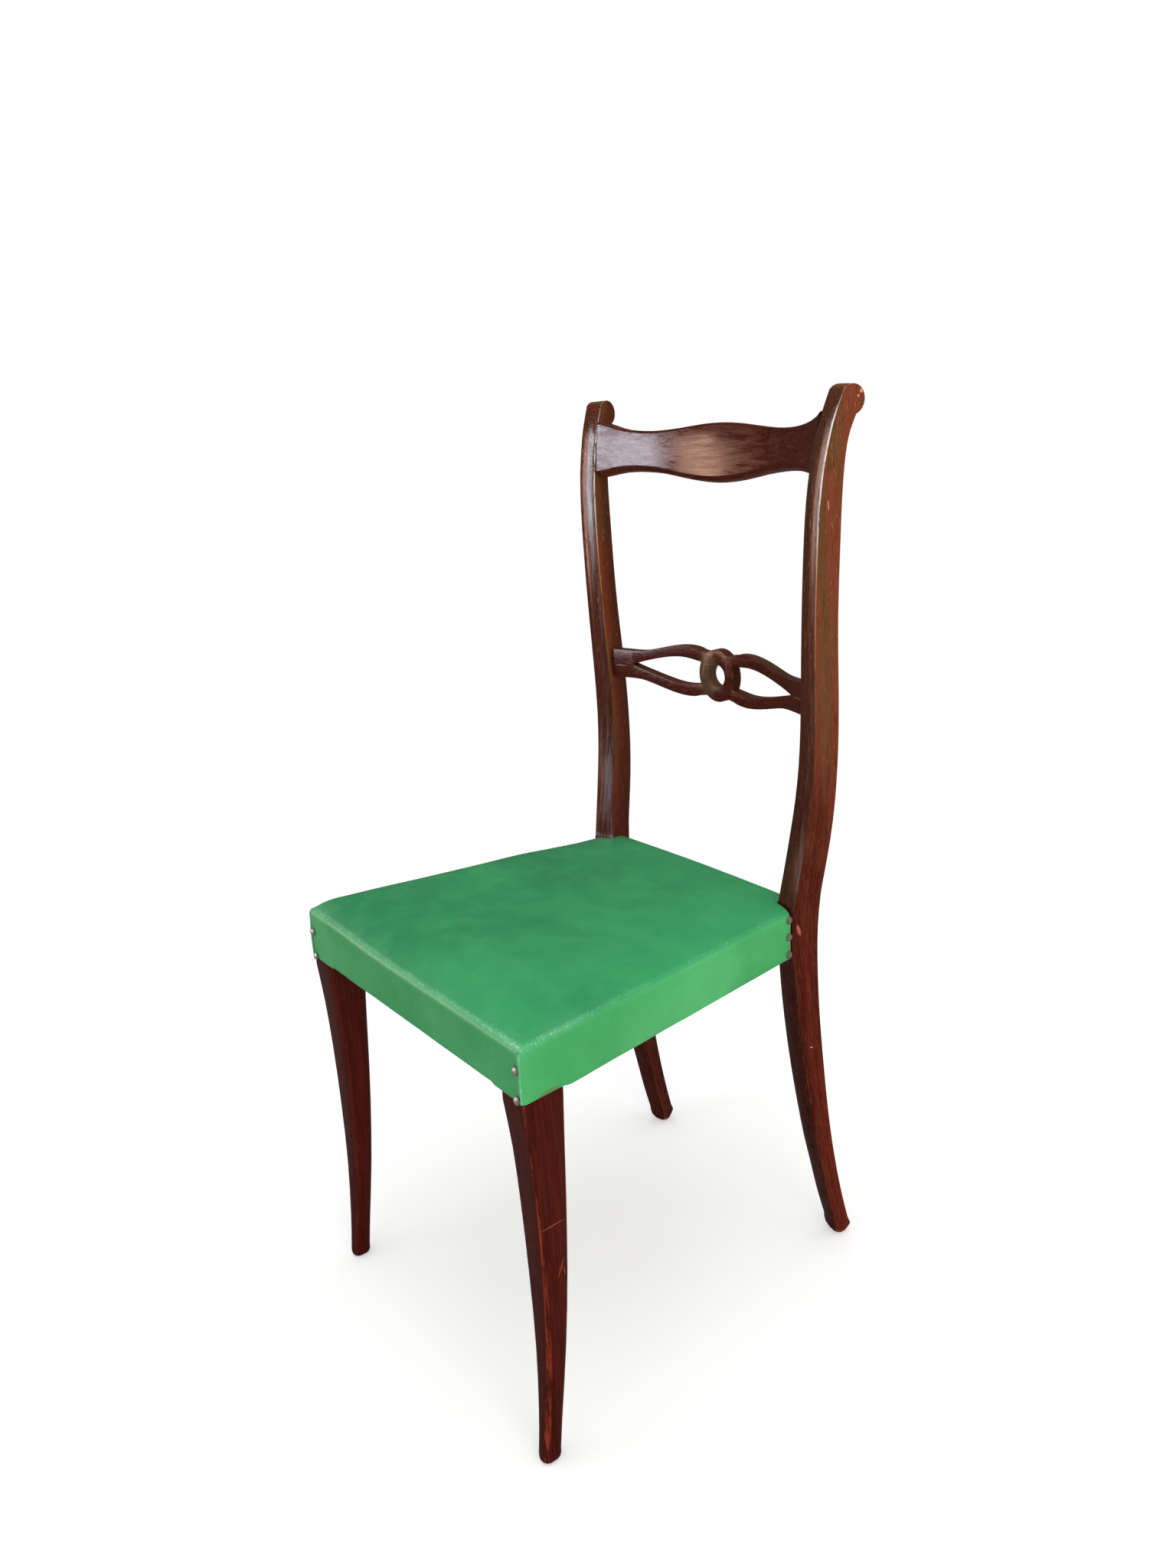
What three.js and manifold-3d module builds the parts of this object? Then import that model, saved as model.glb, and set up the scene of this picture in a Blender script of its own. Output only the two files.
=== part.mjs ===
// Lyre back dining chair, as an assembly of its wooden members, its seat and its fastenings.
// Millimetres, +Z up. The sitter faces -Y, and +X is the sitter's left.
import * as THREE from "three";
import { mergeVertices } from "three/addons/utils/BufferGeometryUtils.js";
import Module from "manifold-3d";

const wasm = await Module();
wasm.setup();

const { PI, abs, sin, cos, tan, asin, atan, sqrt, hypot, min, max } = Math;
const { degToRad, lerp, clamp } = THREE.MathUtils;

// Heights are measured square to the seat, which falls a little to the back, from the floor
// under the front of the rear posts.
const seatFall = degToRad(0.65);

// Seat, in plan and in height
const seatHeight = 458.8; // to the upper edge of the seat's side
const seatFrontWidth = 424;
const seatRearWidth = 342.2; // where the sides end at the rear posts
const seatDepth = 388; // front of the seat to the front of the rear posts
const seatRearReach = 35; // how far the seat runs back between the posts
const seatRearBow = 5;
const seatCornerRadius = 6.5;
const seatEdgeRadius = 9;
const crownFront = 15; // rise of the padded top over its edge, near the front and near the back
const crownRear = 3;
const crownFullness = 7; // power of the crown's fall to the edge: the larger, the fuller

// Frame under the seat
const railThickness = 22;
const railHeight = 40.3;
const frameDrop = 13; // top of the frame, under the edge of the seat
const frameTop = seatHeight - frameDrop;
const tenonThickness = 10;
const tenonHeight = 30;
const legTenonLength = 18;
const postTenonLength = 11;
const tenonLap = 5.3; // how far a tenon runs into its own rail
const postTenonSetback = 11.5; // front of the rear rail's tenons, behind the post's front face
const blockHeight = 30;
const blockDrop = 8; // corner blocks lie this far under the top of the frame
const frontBlockReach = 54;
const rearBlockReach = 56;

// Screws of the corner blocks
const screwLength = 34;
const screwShankRadius = 2;
const screwHeadRadius = 4;
const screwHeadHeight = 2.6;
const screwBite = 14; // how deep the point runs into the rail
const frontScrewShare = 0.55; // places of the screws, as shares of the reach of their block
const frontSideScrewShare = 0.35;
const rearScrewShare = 0.45;

// Rear posts
const postHeight = 998.6; // along the post
const postStance = 346.2; // over the outer faces at seat height
const postThickness = 31.3; // at the thickest, under the seat
const postSweep = 100; // the depth that the post's S curve is measured in
const postSplay = degToRad(1.9);
const postTurn = degToRad(11.84); // each post is turned to follow the bow of the back
const postDome = 2; // swell of the front face across the thickness
const postDomeRun = 31; // along which the swell fades in above and below the block
const postHeadRadius = 14.6;
const postHeadSweep = 51.8; // middle of the scrolled head
const postHeadStart = degToRad(138);
const postHeadEnd = degToRad(-70);
const postFootRadius = 10.5;
const postFootSweep = 88.3;
const postFootCut = 1.5; // planed off level at the floor
const postFootRound = 9; // rounding of the foot across the thickness
const postFootRoundHeight = 22;
const postBlockRise = 1; // the square block that the seat frame meets, over the seat's edge
const postBlockHeight = 62;
const postBlockTop = seatHeight + postBlockRise;
const postBlockBottom = postBlockTop - postBlockHeight;
const postBlockFace = -0.8; // the block stands proud of the front arris above it

// Front legs
const legTopWidth = 36.6;
const legTopDepth = 49;
const legShoulderDrop = 65; // top of the tapered shape, just under the cover
const legShoulder = seatHeight - legShoulderDrop;
const legSetback = 1.2; // outer face behind the corner of the seat
const legEdgeRound = 6.5; // rounding of the foot's lower edge
const legFootCut = 0.3; // planed off level at the floor

// Back rails
const bowRadius = 492; // both back rails lie on this bow
const crestHalfSpan = 178;
const crestHeight = 63.8;
const crestThickness = 18;
const crestDrop = 93.8; // lowest edge at the middle, under the top of the posts
const crestBase = postHeight - crestDrop;
const crestForward = 54.8; // front face at the middle of that edge, behind the posts' front
const crestLean = degToRad(9.5);
const crestSoftTop = 3.5;
const crestSoftRear = 4.5;
const crestRollHeight = 7;
const crestRollDepth = 9;
const crestTenonHeight = 38;
const crestTenonThickness = 9;
const crestTenonSetback = 30; // behind the post's front face at the seat
const backTenonLength = 14;
const lyreHalfSpan = 155;
const lyreHalfHeight = 30;
const lyreHeightShare = 0.41867; // its middle, from the seat's edge to the top of the posts
const lyreMiddle = lerp(seatHeight, postHeight, lyreHeightShare);
const lyreForward = 57.5;
const lyreThickness = 12;
const lyreTenonHeight = 22;
const lyreTenonThickness = 7;
const lyreTenonSetback = 28.7;
const ringHalfWidth = 28.5;
const ringHalfHeight = 30.8;
const ringHoleRadius = 13.3;
const ringMouth = 13.6; // half the height of the ring's arc inside each lens
const ringJoin = 25.1; // height at which the arms run into the ring

// Seat upholstery
const coverThickness = 1.4;
const coverLip = 15; // turned in under the rails
const coverLipDrop = 55; // underside of the lip, under the edge of the seat
const coverLipHeight = seatHeight - coverLipDrop;
const coverFrontDrop = 56.5; // lower edge of the cover on the front and the rear of a leg
const coverRearDrop = 58;
const coverOverLegFront = seatHeight - coverFrontDrop;
const coverOverLegRear = seatHeight - coverRearDrop;
const strapWidth = 50;
const strapThickness = 2;
const strapEndSetback = 6;
const strapSpacing = 95;
const crossStrapFirst = 98; // from the front of the seat
const crossStrapSpacing = 100;
const baseClothThickness = 1;
const baseClothSetback = 6;

// Dome nails
const nailHeadRadius = 4.5;
const nailHeadHeight = 3;
const nailShankRadius = 0.8;
const nailLength = 12;
const frontNailInset = 7;
const lowerNailInset = 8;
const frontNailDrop = 23; // under the edge of the seat
const lowerNailDrop = 53;
const frontNails = [[frontNailInset, frontNailDrop], [lowerNailInset, lowerNailDrop]];
const sideNailDrops = [9, 29, 50];
const sideNailSetback = 6.5; // from the front of the post

const gap = 0.3; // clearance between two pieces that touch
const overrun = 40; // how far a cutting tool runs past what it cuts
const weld = 0.001; // vertices nearer than this are one vertex

// Outlines, as shares of the sizes they follow: height share, then sweep share. The upper ones
// run from the block to the underside of the scrolled head.
const postLowerFrontShares = [
  [0.052, 0.774], [0.098, 0.718], [0.16, 0.646], [0.261, 0.546], [0.361, 0.444], [0.487, 0.341],
  [0.613, 0.247], [0.739, 0.164], [0.864, 0.09], [0.94, 0.053], [0.99, 0.028],
];
const postUpperFrontShares = [
  [0.0021, 0.004], [0.0275, 0.024], [0.0666, 0.06], [0.1449, 0.124], [0.2241, 0.18], [0.3024, 0.209],
  [0.3806, 0.211], [0.4589, 0.198], [0.5382, 0.182], [0.6354, 0.168], [0.7338, 0.163],
  [0.812, 0.168], [0.8733, 0.188], [0.9103, 0.212], [0.9495, 0.25], [0.9886, 0.298], [1.0203, 0.354],
];
const postUpperRearShares = [
  [0.9981, 0.559], [0.9717, 0.504], [0.9473, 0.474], [0.9103, 0.452], [0.8511, 0.439],
  [0.7729, 0.438], [0.6946, 0.44], [0.6164, 0.447], [0.5382, 0.467], [0.4589, 0.492],
  [0.3806, 0.509], [0.3024, 0.512], [0.2241, 0.497], [0.1449, 0.456], [0.0666, 0.39],
  [0.0233, 0.354],
];
const postLowerRearShares = [
  [1.09, 0.332], [0.99, 0.343], [0.864, 0.38], [0.739, 0.434], [0.613, 0.499], [0.487, 0.571],
  [0.361, 0.657], [0.236, 0.761], [0.135, 0.861], [0.06, 0.946],
];
// Post: share of the height, then of the greatest thickness
const postThicknessShares = [
  [0, 0.79], [0.144, 0.895], [0.25, 0.985], [0.32, 0.995], [0.424, 0.936], [0.595, 0.882],
  [0.775, 0.78], [0.95, 0.728], [1, 0.72],
];
// Front leg: height, then outer, inner, front and rear face, radius of the outer and the inner
// corners, and how far the outer face follows the seat's side
const legShares = [
  [0.026, -0.029, 0.512, -0.098, 0.376, 0.26, 0.26, 0],
  [0.146, 0, 0.578, 0.006, 0.486, 0.26, 0.26, 0.1],
  [0.322, 0.029, 0.687, 0.116, 0.647, 0.232, 0.273, 0.3],
  [0.523, 0.042, 0.802, 0.155, 0.78, 0.191, 0.3, 0.5],
  [0.724, 0.02, 0.873, 0.137, 0.88, 0.15, 0.328, 0.7],
  [0.874, 0, 0.911, 0.084, 0.941, 0.123, 0.328, 0.85],
  [1, 0, 1, 0, 1, 0.109, 0.328, 1],
];
// Crest rail: share of the half span, then of the height
const crestLowerShares = [
  [0, 0], [0.112, 0.013], [0.225, 0.044], [0.337, 0.088], [0.449, 0.134], [0.562, 0.16],
  [0.618, 0.166], [0.674, 0.168], [0.73, 0.162], [0.787, 0.147], [0.843, 0.118], [0.899, 0.083],
  [1, 0.016],
];
const crestUpperShares = [
  [0, 1], [0.112, 0.991], [0.225, 0.963], [0.337, 0.926], [0.449, 0.891], [0.562, 0.865],
  [0.618, 0.861], [0.674, 0.862], [0.73, 0.87], [0.787, 0.887], [0.843, 0.912], [0.899, 0.954],
  [1, 1.042],
];
// Lyre rail, from its end to its ring: share of the half span, then of the half height
const lyreArmShares = [
  [1, 0.58], [0.845, 0.57], [0.761, 0.59], [0.684, 0.667], [0.594, 0.78], [0.51, 0.88],
  [0.439, 0.947], [0.355, 0.998], [0.29, 1], [0.226, 0.967], [0.181, 0.9],
];
const lyreLensShares = [
  [0.858, 0], [0.787, 0.117], [0.69, 0.25], [0.581, 0.387], [0.477, 0.493], [0.387, 0.543],
  [0.316, 0.543], [0.245, 0.507],
];
const crownRingShares = [0.96, 0.88, 0.74, 0.52, 0.26];
const roundSteps = 4;

// Materials
const materialOf = (color, roughness, metalness) => () =>
  new THREE.MeshStandardMaterial({ color, roughness, metalness });
const mahogany = materialOf(0x5a2318, 0.32, 0);
const beech = materialOf(0xb58a5a, 0.7, 0);
const leatherette = materialOf(0x349a62, 0.55, 0);
const webbing = materialOf(0xa98f63, 0.9, 0);
const hessian = materialOf(0xb79f78, 0.95, 0);
const padding = materialOf(0xd8ccb0, 0.95, 0);
const steel = materialOf(0x8f8f8c, 0.4, 1);
const nickel = materialOf(0xc9c4b8, 0.3, 1);

const chair = new THREE.Group();

// The chair is built in a frame whose heights are square to the seat, and tilted at the end.
const stance = new THREE.Group();
chair.add(stance);

// Everything left and right is built in a group of its own, and the right one is mirrored.
const sides = [["left", 1], ["right", -1]].map(([side, sign]) => {
  const half = new THREE.Group();
  half.scale.x = sign;
  stance.add(half);

  // A post's frame: origin at the front outer arris, +X outwards, +Y backwards, +Z up the post.
  const post = new THREE.Group();
  post.position.x = postStance / 2 - tan(postSplay) * seatHeight;
  post.rotation.set(0, postSplay, -postTurn, "YXZ");
  half.add(post);

  // A side's frame: origin at the seat's front corner, +X outwards, +Y along the side.
  const flank = new THREE.Group();
  flank.position.set(seatFrontWidth / 2, -seatDepth, 0);
  flank.rotation.z = Math.atan2((seatFrontWidth - seatRearWidth) / 2, seatDepth);
  half.add(flank);
  return { side, half, post, flank };
});
const sideLength = hypot((seatFrontWidth - seatRearWidth) / 2, seatDepth);
const sideSlope = (seatFrontWidth - seatRearWidth) / 2 / seatDepth;

// Solids: three.js meshes go through manifold-3d for a cut or a join, and come back as meshes

// Turns the faces of a closed geometry outwards.
function facingOut(geometry) {
  const at = geometry.getAttribute("position");
  const index = geometry.index.array;
  const [a, b, c] = [new THREE.Vector3(), new THREE.Vector3(), new THREE.Vector3()];
  let volume = 0;
  for (let i = 0; i < index.length; i += 3) {
    a.fromBufferAttribute(at, index[i]);
    b.fromBufferAttribute(at, index[i + 1]);
    c.fromBufferAttribute(at, index[i + 2]);
    volume += a.dot(b.cross(c));
  }
  if (volume < 0) flip(index);
  return geometry;
}

function flip(index) {
  for (let i = 0; i < index.length; i += 3) {
    const kept = index[i + 1];
    index[i + 1] = index[i + 2];
    index[i + 2] = kept;
  }
}

function solidOf(mesh) {
  if (mesh.parent) mesh.updateWorldMatrix(true, false);
  const source = mesh.geometry;
  const bare = new THREE.BufferGeometry();
  bare.setAttribute("position", source.getAttribute("position").clone());
  if (source.index) bare.setIndex(source.index.clone());
  bare.applyMatrix4(mesh.matrixWorld);
  const merged = mergeVertices(bare, weld);
  const triVerts = new Uint32Array(merged.index.array);
  if (mesh.matrixWorld.determinant() < 0) flip(triVerts);
  const vertProperties = new Float32Array(merged.getAttribute("position").array);
  return new wasm.Manifold(new wasm.Mesh({ numProp: 3, vertProperties, triVerts }));
}

// Writes a solid in the chair's frame back as the mesh's own geometry.
function store(mesh, solid) {
  const { vertProperties, triVerts } = solid.asOriginal().simplify(weld).getMesh();
  const geometry = new THREE.BufferGeometry();
  geometry.setAttribute("position", new THREE.BufferAttribute(new Float32Array(vertProperties), 3));
  geometry.setIndex(new THREE.BufferAttribute(new Uint32Array(triVerts), 1));
  geometry.applyMatrix4(mesh.matrixWorld.clone().invert());
  if (mesh.matrixWorld.determinant() < 0) flip(geometry.index.array);
  mesh.geometry = geometry;
}

const cut = (mesh, ...tools) =>
  store(mesh, tools.reduce((solid, tool) => solid.subtract(solidOf(tool)), solidOf(mesh)));
const join = (mesh, ...extras) =>
  store(mesh, extras.reduce((solid, extra) => solid.add(solidOf(extra)), solidOf(mesh)));
const keep = (mesh, ...bounds) =>
  store(mesh, bounds.reduce((solid, bound) => solid.intersect(solidOf(bound)), solidOf(mesh)));

// A mesh that shapes others and isn't part of the chair, placed in the frame of a group.
function tool(geometry, frame = stance) {
  const mesh = new THREE.Mesh(geometry);
  frame.updateWorldMatrix(true, false);
  mesh.matrixWorld.copy(frame.matrixWorld);
  return mesh;
}

function piece(name, geometry, material, frame = stance) {
  const mesh = new THREE.Mesh(geometry, material());
  mesh.name = name;
  frame.add(mesh);
  mesh.updateWorldMatrix(true, false);
  return mesh;
}

// Geometry

function box(low, high) {
  const size = high.map((value, axis) => value - low[axis]);
  return new THREE.BoxGeometry(...size).translate(...low.map((value, axis) => value + size[axis] / 2));
}

const grown = (low, high, by) => box(low.map((v) => v - by), high.map((v) => v + by));

// A closed form through rings of the same number of points. The ends are closed by the faces
// of an outline, which are those of a flat end unless others are given.
function loft(rings, endOutline, faces = THREE.ShapeUtils.triangulateShape(endOutline, [])) {
  const count = rings[0].length;
  const index = [];
  rings.slice(1).forEach((_, ring) => {
    for (let i = 0; i < count; i++) {
      const [a, b] = [ring * count + i, ring * count + ((i + 1) % count)];
      index.push(a, b, b + count, a, b + count, a + count);
    }
  });
  if (THREE.ShapeUtils.isClockWise(endOutline)) flip(index);
  const last = (rings.length - 1) * count;
  faces.forEach(([a, b, c]) => {
    index.push(c, b, a, last + a, last + b, last + c);
  });
  const geometry = new THREE.BufferGeometry().setFromPoints(rings.flat());
  geometry.setIndex(index);
  return facingOut(geometry);
}

// Faces between points of nearly the same height, for a tall outline that rises on one side
// and falls on the other. They follow a thickness that changes with the height.
function rungs(outline) {
  const heights = outline.map(({ y }) => y);
  const lowest = heights.indexOf(min(...heights));
  const highest = heights.indexOf(max(...heights));
  const chain = (step) => {
    const run = [lowest];
    while (run.at(-1) !== highest) run.push((run.at(-1) + step + outline.length) % outline.length);
    return run;
  };
  const [up, down] = [chain(1), chain(-1)];
  const faces = [];
  let [i, j] = [0, 0];
  while (i + 1 < up.length || j + 1 < down.length) {
    const nextUp = up[i + 1] ?? highest;
    const nextDown = down[j + 1] ?? highest;
    const onUp = j + 1 === down.length || (i + 1 < up.length && heights[nextUp] < heights[nextDown]);
    const face = [up[i], down[j], onUp ? nextUp : nextDown];
    if (new Set(face).size === face.length) {
      const turned = THREE.ShapeUtils.isClockWise(face.map((k) => outline[k]));
      faces.push(turned ? face.reverse() : face);
    }
    if (onUp) i++;
    else j++;
  }
  return faces;
}

// An upright prism between two heights over a plan outline of [x, y] points.
function prism(outline, bottom, top) {
  const shape = new THREE.Shape(outline.map(([x, y]) => new THREE.Vector2(x, y)));
  return new THREE.ExtrudeGeometry(shape, { depth: top - bottom, bevelEnabled: false })
    .translate(0, 0, bottom);
}

// A smooth run of points through a few that are given.
function through(points, perSpan = 3) {
  const path = new THREE.CatmullRomCurve3(
    points.map(([x, y]) => new THREE.Vector3(x, y, 0)), false, "centripetal",
  );
  return path.getPoints(perSpan * (points.length - 1)).map((p) => [p.x, p.y]);
}

// A smooth height over x, the same on both sides of the middle.
function lineOver(shares, halfSpan, height) {
  const mirrored = [...shares.slice(1).reverse().map(([x, h]) => [-x, h]), ...shares];
  const line = new THREE.CubicInterpolant(
    mirrored.map(([x]) => x * halfSpan), mirrored.map(([, h]) => h * height), 1,
  );
  return (x) => line.evaluate(clamp(x, -halfSpan, halfSpan))[0];
}

const bow = (x) => bowRadius - sqrt(bowRadius ** 2 - x ** 2);

function arc(cx, cy, rx, ry, from, to, steps = roundSteps) {
  return Array.from({ length: steps + 1 }, (_, i) => {
    const angle = lerp(from, to, i / steps);
    return [cx + rx * cos(angle), cy + ry * sin(angle)];
  });
}

// Rear posts

const thicknessCurve = new THREE.CubicInterpolant(
  postThicknessShares.map(([h]) => h * postHeight),
  postThicknessShares.map(([, t]) => t * postThickness), 1,
);
const thicknessAt = (z) => thicknessCurve.evaluate(clamp(z, 0, postHeight))[0];

function postOutline() {
  const upper = ([h, s]) => [s * postSweep, lerp(postBlockTop, postHeight - 2 * postHeadRadius, h)];
  const lower = ([h, s]) => [s * postSweep, h * postBlockBottom];
  const headHeight = postHeight - postHeadRadius;
  const footHeight = postFootRadius - postFootCut + tan(seatFall) * postFootSweep;
  const front = [
    ...through(postLowerFrontShares.map(lower), 2),
    [postBlockFace, lerp(postBlockBottom, postBlockTop, 0.07)],
    [postBlockFace, lerp(postBlockBottom, postBlockTop, 0.96)],
    ...through(postUpperFrontShares.map(upper), 2),
  ];
  const head = arc(
    postHeadSweep, headHeight, postHeadRadius, postHeadRadius, postHeadStart, postHeadEnd, 12,
  );
  const rear = through([...postUpperRearShares.map(upper), ...postLowerRearShares.map(lower)], 2);
  const foot = arc(postFootSweep, footHeight, postFootRadius, postFootRadius, 0, -PI, 8);
  return { front, points: [...front, ...head, ...rear, ...foot] };
}

function postGeometry() {
  const { front, points } = postOutline();
  const across = 5;
  const footHalf = thicknessAt(0) / 2;
  const rings = Array.from({ length: across + 1 }, (_, step) => {
    const w = (1 - cos((PI * step) / across)) / 2;
    const off = max(0, abs(2 * w - 1) * footHalf - (footHalf - postFootRound)) / postFootRound;
    const lift = postFootRound * (1 - sqrt(1 - min(1, off) ** 2));
    return points.map(([s, z], i) => {
      const offBlock = max(0, z - postBlockTop, postBlockBottom - z);
      const fade = min(1, offBlock / postDomeRun);
      const dome = i < front.length ? postDome * 4 * w * (1 - w) * fade : 0;
      const low = clamp(1 - z / postFootRoundHeight, 0, 1);
      return new THREE.Vector3(-thicknessAt(z) * w, s - dome, z + lift * low);
    });
  });
  const outline = points.map(([s, z]) => new THREE.Vector2(s, z));
  return loft(rings, outline, rungs(outline));
}

// What lies outside a post's inner face and behind a plane of its frame, between two heights.
// The clearance grows it inwards.
function postSpace(by, bottom, top, behind = postBlockFace - by) {
  const levels = 6;
  const inner = Array.from({ length: levels + 1 }, (_, i) => {
    const z = lerp(bottom, top, i / levels);
    return new THREE.Vector2(-thicknessAt(z) - by, -z);
  });
  const shape = new THREE.Shape([
    ...inner,
    new THREE.Vector2(postSweep, -top),
    new THREE.Vector2(postSweep, -bottom),
  ]);
  const depth = 2 * postSweep;
  return new THREE.ExtrudeGeometry(shape, { depth, bevelEnabled: false })
    .rotateX(-PI / 2)
    .translate(0, behind, 0);
}

const underFloor = () => tool(box(
  [-seatFrontWidth, -2 * seatDepth, -overrun],
  [seatFrontWidth, 2 * seatDepth, 0],
).rotateX(seatFall));

// Front legs

const frontDrop = tan(seatFall) * seatDepth; // the floor under the legs lies this much lower
const legLength = legShoulder + frontDrop;

function legRing([height, outer, inner, front, rear, softOuter, softInner, slant], inset, at) {
  const z = at ?? height * legLength;
  const [x0, x1] = [outer * legTopWidth - inset, -inner * legTopWidth + inset];
  const [y0, y1] = [front * legTopDepth + inset, rear * legTopDepth - inset];
  const widest = min(x0 - x1, y1 - y0) / 2 - weld;
  const radius = min(softOuter * legTopWidth, widest);
  const innerRadius = min(softInner * legTopWidth, widest);
  const corners = [
    [x0 - radius, y1 - radius, radius, 0],
    [x1 + innerRadius, y1 - innerRadius, innerRadius, PI / 2],
    [x1 + radius, y0 + radius, radius, PI],
    [x0 - radius, y0 + radius, radius, 1.5 * PI],
  ];
  return corners
    .flatMap(([x, y, r, turn]) => arc(x, y, r, r, turn, turn + PI / 2, 5))
    .map(([x, y]) => {
      const lean = (sideSlope * slant * (y - y0) * (x - x1)) / (x0 - x1);
      return new THREE.Vector3(x - lean, y, z);
    });
}

function legGeometry() {
  const perSpan = 2;
  const heights = legShares.map(([height]) => height);
  const spans = legShares[0].slice(1).map((_, k) =>
    new THREE.CubicInterpolant(heights, legShares.map((row) => row[k + 1]), 1));
  const rowAt = (h) => [h, ...spans.map((span) => span.evaluate(h)[0])];
  const foot = legShares[0];
  const edge = [0, 0.35, 0.7, 1].map((share) => {
    const inset = legEdgeRound * (1 - sqrt(1 - (1 - share) ** 2));
    return legRing(foot, inset, share * legEdgeRound);
  });
  const shaft = [];
  heights.slice(1).forEach((h, i) => {
    for (let k = 0; k < perSpan; k++) shaft.push(legRing(rowAt(lerp(heights[i], h, k / perSpan)), 0));
  });
  const top = legShares[legShares.length - 1];
  const rings = [...edge, ...shaft, legRing(top, 0), legRing(top, 0, frameTop + frontDrop)];
  return loft(rings, rings[0].map((p) => new THREE.Vector2(p.x, p.y)));
}

// Where the leg meets the seat: faces of its square top, in the chair's frame
const legOuter = seatFrontWidth / 2 - legSetback;
const legInner = legOuter - legTopWidth;
const legFront = -seatDepth + gap;
const legRear = legFront + legTopDepth;

// Seat outlines: half outline at an inset, mirrored into a closed one

function seatOutline(inset) {
  const front = -seatDepth + inset;
  const sideAt = (y) => seatFrontWidth / 2 - (y + seatDepth) * sideSlope - inset * hypot(1, sideSlope);
  const radius = max(seatCornerRadius - inset, gap);
  const cornerX = sideAt(front + radius) - radius * hypot(1, sideSlope);
  const corner = arc(cornerX, front + radius, radius, radius, -PI / 2, atan(sideSlope));
  const rearY = seatRearReach - inset;
  const rearHalf = sideAt(rearY - seatRearBow);
  const lead = [0.45, 0.88].map((t) => [cornerX * t, front]);
  const side = [0.15, 0.35, 0.55, 0.78].map((t) => {
    const y = lerp(front, rearY - seatRearBow, t);
    return [sideAt(y), y];
  });
  const rear = [1, 0.75, 0.5, 0.25].map((t) => [rearHalf * t, rearY - seatRearBow * t * t]);
  const half = [...lead, ...corner, ...side, ...rear];
  const mirror = half.map(([x, y]) => [-x, y]).reverse();
  return [[0, front], ...half, [0, rearY], ...mirror];
}

// The padded form of the seat: upright sides, a rounded upper edge and a crowned top.
function paddedForm(inset, bottom) {
  const radius = seatEdgeRadius - inset;
  const shoulder = seatHeight - inset - radius;
  const level = (outline, z) => outline.map(([x, y]) => new THREE.Vector3(x, y, z));
  const rings = [level(seatOutline(inset), bottom), level(seatOutline(inset), shoulder)];
  for (let step = 1; step <= roundSteps; step++) {
    const angle = (PI / 2) * (step / (roundSteps + 0.7));
    rings.push(level(seatOutline(inset + radius * (1 - cos(angle))), shoulder + radius * sin(angle)));
  }
  const edge = rings[rings.length - 1];
  const middleY = (seatRearReach - seatDepth) / 2;
  crownRingShares.forEach((share) => {
    rings.push(edge.map((p) => {
      const y = lerp(middleY, p.y, share);
      const back = clamp((y + seatDepth) / seatDepth, 0, 1);
      const crown = lerp(crownFront, crownRear, back) * (1 - share ** crownFullness);
      return new THREE.Vector3(p.x * share, y, seatHeight - inset + crown);
    }));
  });
  return loft(rings, seatOutline(inset).map(([x, y]) => new THREE.Vector2(x, y)));
}

// The region in which the cover hangs over a leg: above its slanting lower edge.
function overLeg(by) {
  const from = -seatDepth - overrun;
  const to = legRear + gap;
  const slope = (coverOverLegRear - coverOverLegFront) / legTopDepth;
  const at = (y) => coverOverLegFront + slope * (y + seatDepth) - by;
  const shape = new THREE.Shape([
    new THREE.Vector2(from, at(from)),
    new THREE.Vector2(to, at(to)),
    new THREE.Vector2(to, seatHeight),
    new THREE.Vector2(from, seatHeight),
  ]);
  const depth = legTopWidth + overrun;
  return new THREE.ExtrudeGeometry(shape, { depth, bevelEnabled: false })
    .applyMatrix4(new THREE.Matrix4().makeBasis(
      new THREE.Vector3(0, 1, 0), new THREE.Vector3(0, 0, 1), new THREE.Vector3(1, 0, 0),
    ))
    .translate(legInner - gap, 0, 0);
}

// Posts and legs

const railBottom = frameTop - railHeight;
const coverInside = coverThickness + gap; // how far the frame lies behind the cover's face
const tenonBottom = railBottom + (railHeight - tenonHeight) / 2;
const tenonTop = tenonBottom + tenonHeight;

for (const place of sides) {
  place.rearPost = piece("rear_post_" + place.side, postGeometry(), mahogany, place.post);
  cut(place.rearPost, underFloor());

  const stand = new THREE.Group();
  stand.position.set(legOuter, legFront, -frontDrop - legFootCut);
  place.half.add(stand);
  place.frontLeg = piece("front_leg_" + place.side, legGeometry(), mahogany, stand);
  const coverSpace = tool(overLeg(gap), place.half);
  const frameSpace = tool(prism(seatOutline(coverInside), 0, seatHeight));
  store(coverSpace, solidOf(coverSpace).subtract(solidOf(frameSpace)));
  cut(place.frontLeg, coverSpace, underFloor());
}

// Seat frame

const railBack = -seatDepth + coverInside + railThickness; // inner face of the front rail
const rearRailFront = seatRearReach - coverInside - railThickness;

// A tenon is joined to its rail, and its mortise is cut with the same box grown by the clearance.
function tenon(rail, host, frame, low, high) {
  join(rail, tool(box(low, high), frame));
  cut(host, tool(grown(low, high, gap), frame));
}

const frontRail = piece("front_seat_rail", box(
  [-legInner + gap, -seatDepth + coverInside, railBottom],
  [legInner - gap, railBack, frameTop],
), beech);
const rearRail = piece("rear_seat_rail", box(
  [-seatRearWidth / 2, rearRailFront, railBottom],
  [seatRearWidth / 2, seatRearReach, frameTop],
), beech);
keep(rearRail, tool(prism(seatOutline(coverInside), 0, seatHeight)));

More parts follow.
